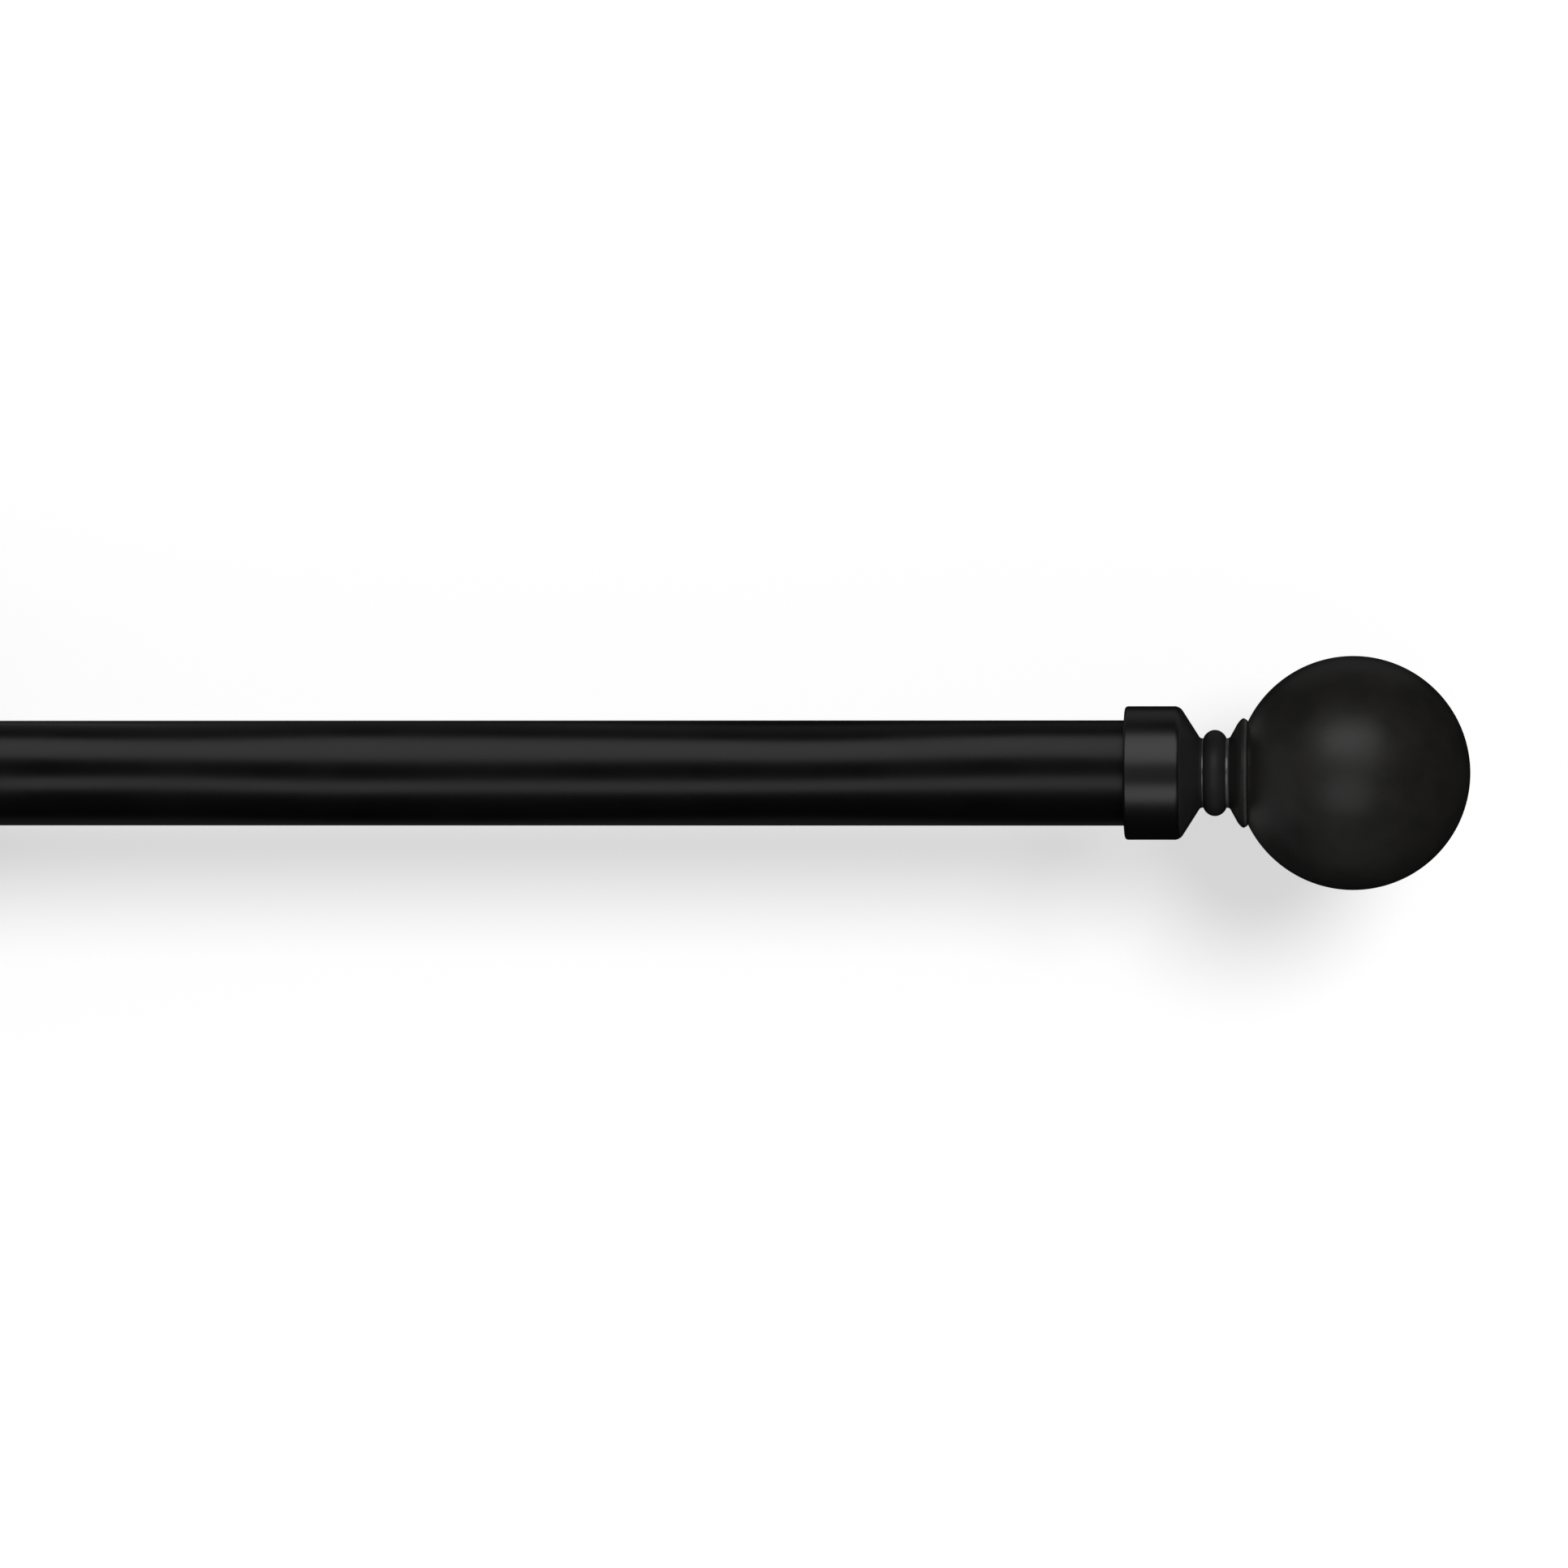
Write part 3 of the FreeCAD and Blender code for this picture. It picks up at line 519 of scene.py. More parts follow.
@dataclass
class Rod:
    """The telescopic pair of tubes, with the bush in the outer tube's mouth. Sizes in mm."""

    outer_wall: float = 0.8
    inner_wall: float = 0.7
    rolled_edge: float = 0.3

    def tube(self, name: str, wall: float, body: str) -> None:
        """Makes one tube from its node's box, with its cut ends just broken.

        Args:
            name: the tube's node.
            wall: its wall thickness.
            body: the body that it moves with.
        """
        low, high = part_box(name)
        length, radius = (high.x - low.x) / MM, (high.z - low.z) / 2 / MM
        bm = turn([
            Corner(0, radius - wall, self.rolled_edge), Corner(length, radius - wall, self.rolled_edge),
            Corner(length, radius, self.rolled_edge), Corner(0, radius, self.rolled_edge),
        ], closed=True, cuts=11)
        start = middle(name)
        start.x = low.x
        made = place(bm, f"{name}_coated", Matrix.Translation(start))
        finish_piece(made, body, TUBE_COAT, "tube_black", name)

    def bush(self) -> None:
        """Makes the nylon bush, whose lip shows as a thin collar where the tubes meet."""
        low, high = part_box("mouth_bush")
        inner, tube = half("inner_tube") + 0.05, half("outer_tube")
        lip, length = (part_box("outer_tube")[0].x - low.x) / MM, (high.x - low.x) / MM
        bm = turn([
            Corner(0, inner, 0.15), Corner(length, inner, 0.3), Corner(length, tube - self.outer_wall, 0.3),
            Corner(lip, tube - self.outer_wall), Corner(lip, tube - 0.1, 0.1), Corner(0, tube - 0.1, 0.5),
        ], closed=True)
        start = middle("mouth_bush")
        start.x = low.x
        made = place(bm, "mouth_bush_moulded", Matrix.Translation(start))
        finish_piece(made, "outer_rod", BLACK_NYLON, "nylon_black", "mouth_bush")

    def build(self) -> None:
        """Builds both tubes and the bush."""
        self.tube("outer_tube", self.outer_wall, "outer_rod")
        self.tube("inner_tube", self.inner_wall, "inner_rod")
        self.bush()


# ---------------------------------------------------------------- the finials


@dataclass
class Finial(Sided):
    """A ball finial: cup, turned neck, ball and stud. Sizes in mm from the cup's rim."""

    cup_r: float = 16.05
    bore_r: float = 12.75
    bore_depth: float = 12.8
    cone_start: float = 13.2
    cone_end: float = 18.0
    cone_end_r: float = 8.5
    stud_hole_r: float = 3.0
    neck_start: float = 18.56
    neck_r: float = 8.36
    bead_at: float = 21.6
    bead_half: float = 2.75
    bead_top: float = 2.1
    bead_r: float = 10.35
    flare_start: float = 25.1
    flare_end: float = 27.3
    flare_end_r: float = 12.35
    flange_at: float = 28.4
    flange_r: float = 13.3
    seat_r: float = 12.6
    insert_hole_r: float = 4.5
    insert_hole_depth: float = 16.0
    stud_pitch: float = 1.0
    where: Matrix = field(init=False)
    rim: float = field(init=False)

    def __post_init__(self) -> None:
        """Takes the finial's place from its cup's box."""
        low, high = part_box(self.node("end_cap"))
        self.rim = low.x if self.side is Side.RIGHT else high.x
        origin = Vector((self.rim, (low.y + high.y) / 2, (low.z + high.z) / 2))
        self.where = along(Vector((self.side.value, 0, 0)), origin)

    def span(self, node: str) -> tuple[float, float]:
        """Where a node starts and ends along the finial, in mm from the cup's rim."""
        low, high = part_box(self.node(node))
        ends = sorted((self.side.value * (x - self.rim) / MM for x in (low.x, high.x)))
        return ends[0], ends[1]

    def out(self, at: Vector) -> tuple[float, float]:
        """How far along the finial and off its axis a place is, in mm."""
        local = (self.where.inverted() @ at) / MM
        return local.x, math.hypot(local.y, local.z)

    def rubbed(self, along_mm: float, off_mm: float) -> bool:
        """Whether a place on the neck is in a quirk beside the bead, or on the seam's edge, where the
        painted highlight line goes.
        """
        quirk = abs(off_mm - self.neck_r) < 0.12 and along_mm > self.neck_start
        return quirk or (along_mm > self.flange_at + 0.5 and off_mm > self.seat_r - 0.4)

    def cup(self) -> None:
        """The cup: a rounded rim, a short straight side and the shoulder cone."""
        bm = turn([
            Corner(0, self.bore_r, 0.25), Corner(self.bore_depth, self.bore_r),
            Corner(self.bore_depth, self.stud_hole_r), Corner(self.neck_start, self.stud_hole_r),
            Corner(self.neck_start, self.neck_r - 0.05, 0.1),
            Corner(self.cone_end, self.cone_end_r, 0.3), Corner(self.cone_start, self.cup_r, 1.2),
            Corner(0, self.cup_r, 0.8),
        ], closed=True)
        made = place(bm, self.node("cup_cast"), self.where)
        finish_piece(made, self.node("finial"), CUP_LACQUER, "cast_black",
                     self.node("end_cap"))
        PAINTS.touch(made, NECK_LACQUER, lambda at: self.out(at)[0] > self.cone_start)

    def neck(self) -> None:
        """The neck: bead between two grooves, then the flare that opens into the flange."""
        end = self.span("neck_spool")[1]
        bm = turn([
            Corner(self.neck_start, self.stud_hole_r), Corner(end, self.stud_hole_r),
            Corner(end, self.seat_r, 0.25), Corner(self.flange_at, self.flange_r, 0.45),
            Corner(self.flare_end, self.flare_end_r, 0.7), Corner(self.flare_start, self.neck_r, 0.5),
            Corner(self.bead_at + self.bead_half, self.neck_r),
            Corner(self.bead_at + self.bead_top, self.bead_r, self.bead_top - 0.1),
            Corner(self.bead_at - self.bead_top, self.bead_r, self.bead_top - 0.1),
            Corner(self.bead_at - self.bead_half, self.neck_r),
            Corner(self.neck_start, self.neck_r, 0.05),
        ], closed=True)
        made = place(bm, self.node("neck_turned"), self.where)
        finish_piece(made, self.node("finial"), NECK_LACQUER, "cast_black",
                     self.node("neck_spool"))
        # The quirks and the seam's edge take a paler lacquer: a painted highlight for their glints.
        PAINTS.touch(made, PAINTED_GLINT_LACQUER, lambda at: self.rubbed(*self.out(at)))

    def ball(self) -> None:
        """The ball, cut flat at its seat with the edge just broken, and bored for its insert."""
        seat, far = self.span("ball")
        radius = half(self.node("ball"))
        bm = blank()
        bmesh.ops.create_uvsphere(bm, u_segments=128, v_segments=80, radius=radius)
        bmesh.ops.rotate(bm, verts=bm.verts, cent=(0, 0, 0), matrix=Matrix.Rotation(math.pi / 2, 3, "Y"))
        bmesh.ops.translate(bm, verts=bm.verts, vec=(far - radius, 0, 0))
        bmesh.ops.bisect_plane(bm, geom=bm.verts[:] + bm.edges[:] + bm.faces[:], plane_co=(seat, 0, 0),
                               plane_no=(1, 0, 0), clear_inner=True)
        rim = [e for e in bm.edges if e.is_boundary]
        bmesh.ops.contextual_create(bm, geom=rim)
        bevel(bm, rim, 0.2, 3)
        bottom = max(bm.faces, key=lambda face: len(face.verts))
        bmesh.ops.inset_region(bm, faces=[bottom], thickness=1.0, use_even_offset=True)
        shrink = self.insert_hole_r / math.hypot(bottom.verts[0].co.y, bottom.verts[0].co.z)
        bmesh.ops.scale(bm, verts=bottom.verts, vec=(1, shrink, shrink))
        floor = bmesh.ops.extrude_face_region(bm, geom=[bottom])["geom"]
        shift(bm, floor, self.insert_hole_depth, 0, 0)
        bmesh.ops.delete(bm, geom=[bottom], context="FACES_ONLY")
        tidy(bm)
        made = place(bm, self.node("ball_cast"), self.where)
        finish_piece(made, self.node("finial"), BALL_LACQUER, "ball_black", self.node("ball"))

    def stud(self) -> None:
        """The M6 stud with its rolled thread and bevelled ends."""
        start, end = self.span("stud")
        radius = half(self.node("stud"))
        bm = turn([Corner(start, 0), Corner(start, radius, 0.6), Corner(end, radius, 0.6),
                   Corner(end, 0)], steps=32, cuts=300)
        thread(bm, start, end, self.stud_pitch, 0.6, 1.5)
        made = place(bm, self.node("stud_threaded"), self.where)
        finish_piece(made, self.node("stud"), ZINC_PLATE, "zinc_steel", self.node("stud"))

    def build(self) -> None:
        """Builds every piece of the finial."""
        self.cup()
        self.neck()
        self.ball()
        self.stud()


# ---------------------------------------------------------------- the brackets


@dataclass
class Bracket(Sided):
    """A projecting bracket: plate, sleeve, sliding arm, cradle and thumbscrew. Sizes in mm."""

    plate_edge: float = 1.6
    hole_r: float = 2.4
    sink_r: float = 4.5
    fixing_up: float = 29.0
    rivet_r: float = 5.0
    rivet_head_r: float = 7.0
    rivet_recess: float = 1.5
    sleeve_r: float = 8.0
    sleeve_bore_r: float = 6.05
    sleeve_floor: float = 9.0
    collar_length: float = 10.0
    collar_edge: float = 1.2
    lock_r: float = 2.0
    post_bore_r: float = 2.0
    post_bore: float = 12.0
    cradle_r: float = 13.0
    cradle_wall: float = 3.5
    cradle_edge: float = 0.9
    front_leg: float = 9.0
    back_boss_r: float = 8.0
    front_boss_r: float = 6.0
    boss_root: float = 14.3
    sink_start: float = 13.3
    sink_head_r: float = 3.8
    sink_hole_r: float = 2.2
    tapped_r: float = 2.5
    fine_pitch: float = 0.7
    fine_depth: float = 0.35
    cradle_screw_r: float = 2.0
    knob_steps: int = 256
    knob_nose_r: float = 1.2
    knob_thread_start: float = 15.1
    knob_thread_end: float = 22.0
    knob_thread_r: float = 2.45
    knob_pitch: float = 0.8
    knob_head_start: float = 24.0
    knob_shoulder_r: float = 5.0
    knob_head_r: float = 8.5
    knob_dish_r: float = 5.6
    knob_dish: float = 0.6
    flutes: int = 16
    flute_r: float = 1.3
    flute_at: float = 8.9
    screw_head: float = 2.6
    screw_head_r: float = 4.2
    screw_shank_r: float = 1.6
    screw_r: float = 2.1
    screw_point: float = 5.0
    screw_pitch: float = 2.8
    screw_thread: float = 0.62
    seat: Vector = field(init=False)

    def __post_init__(self) -> None:
        """Takes the bracket's axis from its post, and the rod's axis from the tube."""
        self.seat = middle(self.node("arm_post"))
        self.seat.y = middle("outer_tube").y

    def out(self, y: float) -> Matrix:
        """A placement whose X axis points away from the wall, from a place y metres off it."""
        return along(Vector((0, -1, 0)), Vector((self.seat.x, y, self.seat.z)))

    def reach(self, name: str) -> tuple[float, float]:
        """How far off the wall a node starts and ends, in mm."""
        low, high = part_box(self.node(name))
        return -high.y / MM, -low.y / MM

    def shifted(self, up: int) -> Matrix:
        """The shift from the bracket's axis to its upper or lower fixing, for up 1 or -1."""
        return Matrix.Translation((0, 0, up * self.fixing_up * MM))

    def cylinder(self, name: str, start: float, end: float, radius: float,
                 matrix: Matrix) -> bpy.types.Object:
        """A plain solid to cut with or to join on, turned between two places."""
        bm = turn([Corner(start, 0), Corner(start, radius), Corner(end, radius), Corner(end, 0)])
        return place(bm, name, matrix)

    def plate(self) -> None:
        """The oblong plate: a circle drawn out to a stadium, raised, rounded in front, then drilled."""
        low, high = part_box(self.node("wall_plate"))
        radius, thick = (high.x - low.x) / 2 / MM, (high.y - low.y) / MM
        stretch = (high.z - low.z) / 2 / MM - radius
        bm = blank()
        bmesh.ops.create_circle(bm, cap_ends=True, radius=radius, segments=ROUND_STEPS)
        bmesh.ops.rotate(bm, verts=bm.verts, cent=(0, 0, 0), matrix=Matrix.Rotation(math.pi / 2, 3, "Y")
                         @ Matrix.Rotation(math.pi / ROUND_STEPS, 3, "Z"))
        for up in (1, -1):
            bmesh.ops.translate(bm, verts=[v for v in bm.verts if v.co.z * up > 0],
                                vec=(0, 0, up * stretch))
        raised = bmesh.ops.extrude_face_region(bm, geom=bm.faces[:])["geom"]
        shift(bm, raised, thick, 0, 0)
        front = [e for e in bm.edges if all(v.co.x > thick / 2 for v in e.verts)]
        bevel(bm, front, self.plate_edge, 6)
        bmesh.ops.recalc_face_normals(bm, faces=bm.faces)
        made = place(bm, self.node("plate_pressed"), self.out(0))
        sink = self.sink_r - self.hole_r
        hole = [Corner(-1, 0), Corner(-1, self.hole_r), Corner(thick - sink, self.hole_r),
                Corner(thick + 0.5, self.sink_r + 0.5), Corner(thick + 0.5, 0)]
        cutters = [place(turn(hole), "hole", self.shifted(up) @ self.out(0)) for up in (1, -1)]
        tail = [Corner(-1, 0), Corner(-1, self.rivet_head_r),
                Corner(self.rivet_recess, self.rivet_head_r), Corner(self.rivet_recess, self.rivet_r),
                Corner(thick + 1, self.rivet_r), Corner(thick + 1, 0)]
        cutters.append(place(turn(tail), "tail", self.out(0)))
        combine(made, "DIFFERENCE", cutters)
        finish_piece(made, "wall_side", BRACKET_COAT, "bracket_black", self.node("wall_plate"))

    def sleeve(self) -> None:
        """The sleeve with its collar, headed over behind the plate, and the lock screw's hole."""
        start, end = self.reach("arm_sleeve")
        plate = self.reach("wall_plate")[1]
        collar_r = half(self.node("arm_sleeve"), 0)
        collar = end - self.collar_length
        bm = turn([
            Corner(start, 0), Corner(start, self.rivet_head_r, 0.4),
            Corner(self.rivet_recess, self.rivet_head_r), Corner(self.rivet_recess, self.rivet_r),
            Corner(plate, self.rivet_r), Corner(plate, self.sleeve_r, 0.2),
            Corner(collar, self.sleeve_r, 0.8), Corner(collar, collar_r, self.collar_edge),
            Corner(end, collar_r, self.collar_edge), Corner(end, self.sleeve_bore_r, 0.4),
            Corner(self.sleeve_floor, self.sleeve_bore_r), Corner(self.sleeve_floor, 0),
        ])
        made = place(bm, self.node("sleeve_turned"), self.out(0))
        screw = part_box(self.node("lock_screw"))
        down = along(Vector((0, 0, -1)), Vector((self.seat.x, (screw[0].y + screw[1].y) / 2, self.seat.z)))
        combine(made, "DIFFERENCE", [self.cylinder("hole", 4, collar_r + 1, self.lock_r, down)])
        finish_piece(made, "wall_side", BRACKET_COAT, "bracket_black", self.node("arm_sleeve"))
        self.lock_screw(down)

    def lock_screw(self, down: Matrix) -> None:
        """The grub screw in the collar's underside, with its hexagon socket.

        Args:
            down: the placement that points out through the collar's underside.
        """
        low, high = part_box(self.node("lock_screw"))
        tip, end = (self.seat.z - high.z) / MM, (self.seat.z - low.z) / MM
        bm = turn([Corner(tip, 0), Corner(tip, self.lock_r, 0.5), Corner(end, self.lock_r, 0.3),
                   Corner(end, 0)], steps=48, cuts=24)
        thread(bm, tip, end, self.fine_pitch, self.fine_depth, 1.2)
        made = place(bm, self.node("lock_screw_socket"), down)
        socket = recess(Drive.HEX, 2.0, 2.0)
        up = along(Vector((0, 0, 1)), Vector((self.seat.x, (low.y + high.y) / 2, low.z)))
        combine(made, "DIFFERENCE", [place(socket, "socket", up)])
        finish_piece(made, "wall_side", BLACK_OXIDE, "screw_black", self.node("lock_screw"))

    def post(self) -> None:
        """The arm post, bevelled where it enters the sleeve and bored in front for the cradle's screw."""
        start, end = self.reach("arm_post")
        radius = half(self.node("arm_post"), 0)
        bm = turn([
            Corner(start, 0), Corner(start, radius, 0.8), Corner(end, radius, 0.2),
            Corner(end, self.post_bore_r), Corner(end - self.post_bore, self.post_bore_r),
            Corner(end - self.post_bore, 0),
        ])
        made = place(bm, self.node("post_turned"), self.out(0))
        finish_piece(made, self.node("arm"), BRACKET_COAT, "bracket_black", self.node("arm_post"))

    def cradle(self) -> None:
        """The open U: a strip spun half a turn, its legs drawn up, widened, its bosses joined on."""
        low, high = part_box(self.node("cradle"))
        outer = self.cradle_r + self.cradle_wall
        width, back_leg = (high.x - low.x) / MM, (high.z - self.seat.z) / MM - self.cradle_wall / 2
        bm = blank()
        ends = [bm.verts.new((0, r, 0)) for r in (self.cradle_r, outer)]
        bm.edges.new(ends)
        bmesh.ops.spin(bm, geom=bm.verts[:] + bm.edges[:], cent=(0, 0, 0), axis=(1, 0, 0),
                       angle=-math.pi, steps=ROUND_STEPS // 2, use_merge=False)
        bmesh.ops.remove_doubles(bm, verts=bm.verts, dist=1e-5)
        for way, leg in ((1, back_leg), (-1, self.front_leg)):
            tip = [e for e in bm.edges if all(abs(v.co.z) < 1e-4 and v.co.y * way > 0 for v in e.verts)]
            grown = bmesh.ops.extrude_edge_only(bm, edges=tip)["geom"]
            shift(bm, grown, 0, 0, leg + self.cradle_wall / 2)
            top = [g for g in grown if isinstance(g, bmesh.types.BMVert)]
            bevel(bm, top, self.cradle_wall / 2 * 0.99, 8, "VERTICES")
        side = bmesh.ops.extrude_face_region(bm, geom=bm.faces[:])["geom"]
        shift(bm, side, width, 0, 0)
        shift(bm, bm.verts[:], -width / 2, 0, 0)
        rims = [e for e in bm.edges if e.calc_face_angle(0) > 1.0
                and abs(e.verts[0].co.x - e.verts[1].co.x) < 1e-4]
        bevel(bm, rims, self.cradle_edge, 4)
        tidy(bm)
        made = place(bm, self.node("cradle_formed"), Matrix.Translation(self.seat))
        front, back = self.out(self.seat.y), along(Vector((0, 1, 0)), self.seat)
        front_end, back_end = (self.seat.y - low.y) / MM, (high.y - self.seat.y) / MM
        bosses = [place(turn([Corner(self.boss_root, 0), Corner(self.boss_root, radius),
                              Corner(end, radius, 0.5), Corner(end, 0)]), "boss", matrix)
                  for radius, end, matrix in ((self.front_boss_r, front_end, front),
                                              (self.back_boss_r, back_end, back))]
        combine(made, "UNION", bosses)
        narrow = self.sink_start + self.sink_head_r - self.sink_hole_r
        sink = [Corner(5, 0), Corner(5, self.sink_head_r), Corner(self.sink_start, self.sink_head_r),
                Corner(narrow, self.sink_hole_r), Corner(25, self.sink_hole_r), Corner(25, 0)]
        combine(made, "DIFFERENCE", [self.cylinder("tapped", 8, front_end + 1, self.tapped_r, front),
                                     place(turn(sink), "sink", back)])
        finish_piece(made, self.node("arm"), BRACKET_COAT, "bracket_black", self.node("cradle"))

    def cradle_screw(self) -> None:
        """The countersunk cross-head screw that holds the cradle on the post."""
        low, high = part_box(self.node("cradle_screw"))
        start, end = (low.y - self.seat.y) / MM, (high.y - self.seat.y) / MM
        head = half(self.node("cradle_screw"), 0)
        shank = start + head - self.cradle_screw_r
        bm = turn([Corner(start, 0), Corner(start, head, 0.15), Corner(shank, self.cradle_screw_r),
                   Corner(end, self.cradle_screw_r, 0.4), Corner(end, 0)], steps=48, cuts=80)
        thread(bm, shank + 1, end, self.fine_pitch, self.fine_depth, 1.2)
        back = along(Vector((0, 1, 0)), self.seat)
        made = place(bm, self.node("cradle_screw_cross"), back)
        self.cross(made, along(Vector((0, 1, 0)), Vector((self.seat.x, low.y, self.seat.z))), 4.0, 1.6)
        finish_piece(made, self.node("arm"), BLACK_OXIDE, "screw_black", self.node("cradle_screw"))

    @staticmethod
    def cross(screw: bpy.types.Object, matrix: Matrix, across: float, depth: float) -> None:
        """Cuts a cross recess in a screw's head: two tapered slots at right angles."""
        slots = [place(recess(Drive.CROSS, across, depth), "slot",
                       matrix @ Matrix.Rotation(turned, 4, "X")) for turned in (0.3, 0.3 + math.pi / 2)]
        combine(screw, "DIFFERENCE", slots)

    def knob(self) -> None:
        """The thumbscrew: nose, thread, shoulder and a head whose rim is scalloped by its flutes."""
        start, end = ((self.seat.y / MM + reach) for reach in self.reach("thumbscrew"))
        first, last, head, dish = (self.knob_thread_start, self.knob_thread_end, self.knob_head_start,
                                   end - self.knob_dish)
        bm = turn([
            Corner(start, 0), Corner(start, self.knob_nose_r, 0.3), Corner(first, self.knob_nose_r),
            Corner(first, self.knob_thread_r, 0.4), Corner(last, self.knob_thread_r),
            Corner(last, self.knob_shoulder_r, 0.4), Corner(head, self.knob_shoulder_r, 0.6),
            Corner(head, self.knob_head_r, 1.1), Corner(end, self.knob_head_r, 1.3),
            Corner(end, self.knob_dish_r, 0.5), Corner(dish, self.knob_dish_r - self.knob_dish, 0.5),
            Corner(dish, 0),
        ], steps=self.knob_steps, cuts=30)
        thread(bm, first, last, self.knob_pitch, 0.4, 1.5)
        for vert in bm.verts:
            off, angle = math.hypot(vert.co.y, vert.co.z), math.atan2(vert.co.z, vert.co.y)
            near = angle - round(angle / TURN * self.flutes) * TURN / self.flutes
            aside = self.flute_at * math.sin(near)
            if vert.co.x < head - 0.1 or off < 6.5 or abs(aside) >= self.flute_r:
                continue
            floor = self.flute_at * math.cos(near) - math.sqrt(self.flute_r ** 2 - aside ** 2)
            scale = min(1, floor / off)
            vert.co.y *= scale
            vert.co.z *= scale
        made = place(bm, self.node("thumbscrew_fluted"), self.out(self.seat.y))
        finish_piece(made, self.node("thumb"), BRACKET_COAT, "bracket_black", self.node("thumbscrew"))

    def wood_screws(self) -> None:
        """The two wood screws: cross head, plain shank in the plate, coarse thread and a point."""
        start, end = self.reach("wall_screws")
        length = end - start
        joined = blank()
        for up in (1, -1):
            bm = turn([
                Corner(0, 0), Corner(0, self.screw_head_r, 0.12),
                Corner(self.screw_head, self.screw_shank_r, 0.2), Corner(end, self.screw_shank_r, 0.1),
                Corner(end + 1, self.screw_r), Corner(length - self.screw_point, self.screw_r, 1.0),
                Corner(length, 0),
            ], steps=36, cuts=110)
            thread(bm, end + 1, length - 1, self.screw_pitch, self.screw_thread, 0.9)
            into = self.shifted(up) @ along(Vector((0, 1, 0)), Vector((self.seat.x, -end * MM,
                                                                       self.seat.z)))
            made = place(bm, "screw", into)
            self.cross(made, into, 4.6, 1.9)
            joined.from_mesh(made.data)
            bpy.data.objects.remove(made)
        bmesh.ops.scale(joined, verts=joined.verts, vec=(1 / MM,) * 3)
        made = place(joined, self.node("wood_screws_cross"), Matrix.Identity(4))
        finish_piece(made, "wall_side", BLACK_OXIDE, "screw_black", self.node("wall_screws"))

    def build(self) -> None:
        """Builds every piece of the bracket."""
        for make in (self.plate, self.sleeve, self.post, self.cradle, self.cradle_screw, self.knob,
                     self.wood_screws):
            make()


@dataclass
class HiddenFittings:
    """The nylon and brass inside the rod and finials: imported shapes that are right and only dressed."""

    finishes: dict[str, Finish] = field(default_factory=lambda: {
        "inner_glide": UNDYED_NYLON, "reducer_sleeve": BLACK_NYLON, "tube_plug": UNDYED_NYLON,
        "plug_insert": TURNED_BRASS, "ball_insert": TURNED_BRASS, "thumb_pad": BLACK_NYLON})

    def dress(self) -> None:
        """Gives each carried-over node the finish of its kind."""
        for name, node in frame["nodes"].items():
            for kind, finish in self.finishes.items():
                if name.endswith(kind):
                    PAINTS.dress(node, finish)
                    LOG.info("%s: packed shape, %s", name, finish.name)


# ---------------------------------------------------------------- studio


def bearing(azimuth: float, elevation: float) -> Vector:
    """The direction that is so many degrees round from the front, towards +X, and up."""
    turned, up = math.radians(azimuth), math.radians(elevation)
    return Vector((math.sin(turned) * math.cos(up), -math.cos(turned) * math.cos(up), math.sin(up)))


def stand(name: str, data: bpy.types.ID, towards: Vector, at: Vector) -> bpy.types.Object:
    """Stands a light or camera at a place, with its back to a direction."""
    made = bpy.data.objects.new(name, data)
    made.location = at
    made.rotation_euler = towards.to_track_quat("Z", "Y").to_euler()
    bpy.context.scene.collection.objects.link(made)
    return made


class Lights(Enum):
    """Which pieces a softbox lights, by words in their names: tubes get long strips, balls small boxes."""

    FOR_CUPS = ("cup",)
    FOR_BALLS = ("ball", "neck")
    FOR_TUBES = ()


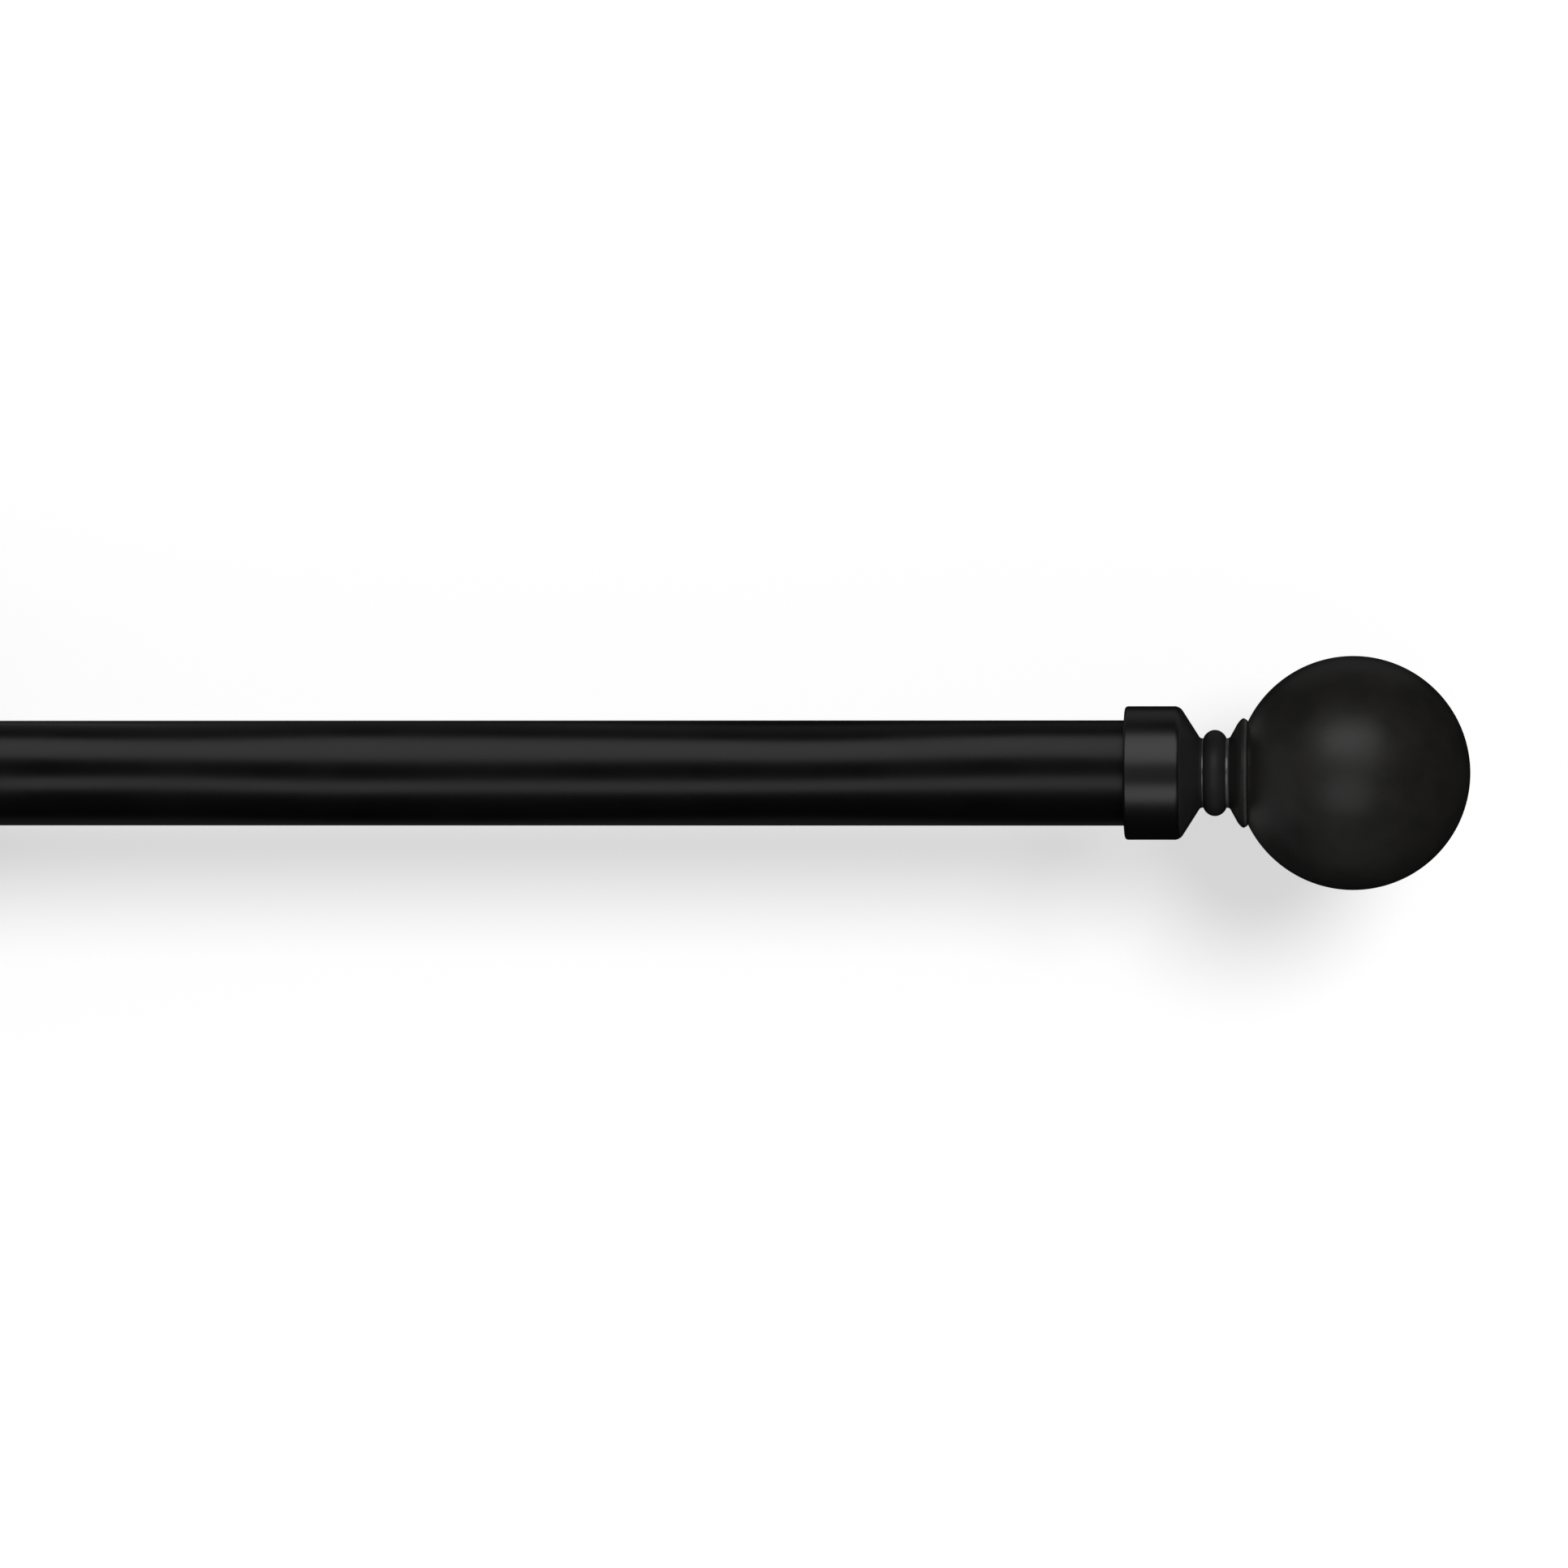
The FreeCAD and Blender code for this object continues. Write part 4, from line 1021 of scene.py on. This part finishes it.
@dataclass
class Studio:
    """A pale wall and floor, a soft key from the upper right and strip lights that only gloss sees."""

    wall_glow: float = 0.33
    wall_albedo: float = 0.8
    fill: float = 0.5
    reflected: float = 0.006
    key_strength: float = 1.3
    key_softness: float = 18.0
    key_up: float = 11.0
    key_right: float = 16.6
    aim: Vector = field(default_factory=lambda: Vector((0.45, -0.089, 0.0)))
    lit: dict[Lights, bpy.types.Collection] = field(default_factory=dict)

    def pale(self) -> bpy.types.Material:
        """Matt white paint, lit a little from within so that it stays pale, and clear from behind."""
        made = bpy.data.materials.new("matt_white_backdrop")
        made.use_nodes = True
        tree = made.node_tree
        tree.nodes.clear()
        back = add_node(tree, "ShaderNodeNewGeometry").outputs["Backfacing"]
        matt = add_node(tree, "ShaderNodeBsdfDiffuse", {"Color": (self.wall_albedo,) * 3 + (1,)})
        glow = add_node(tree, "ShaderNodeEmission", {"Strength": self.wall_glow})
        both = add_node(tree, "ShaderNodeAddShader",
                        links={0: matt.outputs["BSDF"], 1: glow.outputs["Emission"]})
        clear = add_node(tree, "ShaderNodeBsdfTransparent")
        mixed = add_node(tree, "ShaderNodeMixShader",
                         links={0: back, 1: both.outputs["Shader"], 2: clear.outputs["BSDF"]})
        add_node(tree, "ShaderNodeOutputMaterial", links={"Surface": mixed.outputs["Shader"]})
        return made

    def sheet(self, name: str, matrix: Matrix, paint: bpy.types.Material) -> None:
        """A large square sheet that faces along the matrix's Z axis."""
        bm = blank()
        bmesh.ops.create_grid(bm, x_segments=2, y_segments=2, size=6000)
        made = place(bm, name, matrix)
        made.data.materials.append(paint)
        made.visible_glossy = made.visible_diffuse = made.visible_shadow = False

    def key(self) -> None:
        """The sun that throws the rod's soft shadow down the wall and to the left."""
        lamp = bpy.data.lights.new("key", "SUN")
        lamp.energy, lamp.angle = self.key_strength, math.radians(self.key_softness)
        made = stand("key", lamp, bearing(self.key_right, self.key_up), Vector())
        made.visible_glossy = False

    def softbox(self, name: str, lights: Lights, azimuth: float, elevation: float, distance: float,
                width: float, height: float, radiance: float) -> None:
        """A rectangular light that only reflections see.

        Args:
            name: the light's name.
            lights: which pieces it lights.
            azimuth: degrees round from the front, towards +X.
            elevation: degrees up.
            distance: metres from the aim.
            width: its width in metres.
            height: its height in metres.
            radiance: how bright its face looks.
        """
        lamp = bpy.data.lights.new(name, "AREA")
        lamp.shape, lamp.size, lamp.size_y = "RECTANGLE", width, height
        lamp.energy = radiance * math.pi * width * height
        towards = bearing(azimuth, elevation)
        made = stand(name, lamp, towards, self.aim + towards * distance)
        made.visible_diffuse = made.visible_camera = False
        made.light_linking.receiver_collection = self.lit[lights]

    def sort_pieces(self) -> None:
        """Sorts the pieces by the lights they need: cups, balls with their necks, and everything else."""
        self.lit = {lights: bpy.data.collections.new(lights.name.lower()) for lights in Lights}
        for obj in bpy.context.scene.objects:
            if obj.type == "MESH":
                group = next((g for g in Lights if any(word in obj.name for word in g.value)),
                             Lights.FOR_TUBES)
                self.lit[group].objects.link(obj)

    def world(self) -> None:
        """White where the camera looks past the stage, dark in reflections, a little fill elsewhere."""
        made = bpy.data.worlds.new("studio")
        bpy.context.scene.world = made
        made.use_nodes = True
        tree = made.node_tree
        tree.nodes.clear()
        path = add_node(tree, "ShaderNodeLightPath")
        fill, dark, white = (
            add_node(tree, "ShaderNodeBackground", {"Color": (1, 1, 1, 1), "Strength": strength})
            for strength in (self.fill, self.reflected, 1.0))
        gloss = add_node(tree, "ShaderNodeMixShader", links={
            0: path.outputs["Is Glossy Ray"], 1: fill.outputs[0], 2: dark.outputs[0]})
        seen = add_node(tree, "ShaderNodeMixShader", links={
            0: path.outputs["Is Camera Ray"], 1: gloss.outputs[0], 2: white.outputs[0]})
        add_node(tree, "ShaderNodeOutputWorld", links={"Surface": seen.outputs[0]})

    @staticmethod
    def softboxes() -> Iterable[tuple]:
        """Each softbox's name, pieces, azimuth, elevation, distance, width, height and radiance."""
        tubes, cups, balls = Lights.FOR_TUBES, Lights.FOR_CUPS, Lights.FOR_BALLS
        yield "upper_strip", tubes, 0, 55, 1.5, 3.6, 1.35, 0.9
        yield "lower_strip", tubes, 0, -27, 1.6, 3.6, 0.72, 0.87
        yield "rear_top", tubes, 180, 60, 1.6, 3.2, 1.0, 0.08
        yield "rear_low", tubes, 180, -40, 1.6, 3.2, 1.0, 0.04
        yield "cup_upper", cups, 0, 43, 1.5, 3.0, 1.45, 0.74
        yield "cup_middle", cups, 0, 1, 1.6, 3.0, 0.5, 0.1
        yield "cup_lower", cups, 0, -36, 1.6, 3.0, 0.8, 0.76
        yield "cup_rear", cups, 180, 62, 1.6, 3.0, 1.0, 0.14
        yield "ball_upper", balls, 0, 32, 1.5, 1.5, 0.92, 1.25
        yield "ball_lower", balls, -3, -21, 1.5, 1.2, 0.9, 0.72
        yield "ball_rear", balls, 180, 50, 1.6, 1.6, 1.0, 0.1
        yield "ball_low", balls, 0, -80, 1.6, 2.0, 1.6, 0.1
        yield "ball_left", balls, -88, -8, 1.8, 2.4, 2.0, 0.2
        yield "flare_left", balls, -128, 0, 1.9, 1.1, 1.6, 0.3
        for side in Side:
            yield side.word + "_box", tubes, 84 * side.value, 25, 1.9, 1.1, 1.4, 0.6
            yield side.word + "_low_box", tubes, 80 * side.value, -45, 1.9, 1.0, 1.0, 0.3
            yield side.word + "_rear_box", tubes, 140 * side.value, 30, 1.9, 1.2, 1.2, 0.35
            yield side.word + "_cup_box", cups, 115 * side.value, 10, 1.9, 1.2, 1.4, 0.2

    def build(self) -> None:
        """Sets up the wall, the floor and every light."""
        self.sort_pieces()
        paint = self.pale()
        self.sheet("wall", Matrix.Rotation(math.pi / 2, 4, "X"), paint)
        self.sheet("floor", Matrix.Translation((0, 0, -0.6)), paint)
        self.key()
        for box in self.softboxes():
            self.softbox(*box)
        self.world()
        bpy.context.scene.view_settings.view_transform = "Standard"


@dataclass
class ViewCamera:
    """A long lens that looks at the rod's right end, nearly square on."""

    aim: Vector = field(default_factory=lambda: Vector((0.4099, -0.089, -0.00264)))
    distance: float = 2.621
    azimuth: float = 4.0
    lens: float = 250.0

    def build(self) -> None:
        """Makes the camera and looks through it."""
        data = bpy.data.cameras.new("camera")
        data.lens, data.sensor_width, data.clip_end = self.lens, 36.0, 50.0
        towards = bearing(self.azimuth, 0)
        bpy.context.scene.camera = stand("camera", data, towards, self.aim + towards * self.distance)


def main() -> None:
    """Builds the rod, its finials and brackets, then the studio."""
    logging.basicConfig(level=logging.INFO, format="%(name)s %(message)s")
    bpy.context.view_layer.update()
    Rod().build()
    for side in Side:
        Finial(side).build()
        Bracket(side).build()
    HiddenFittings().dress()
    Studio().build()
    ViewCamera().build()
    bpy.context.view_layer.update()


if __name__ == "__main__":
    main()
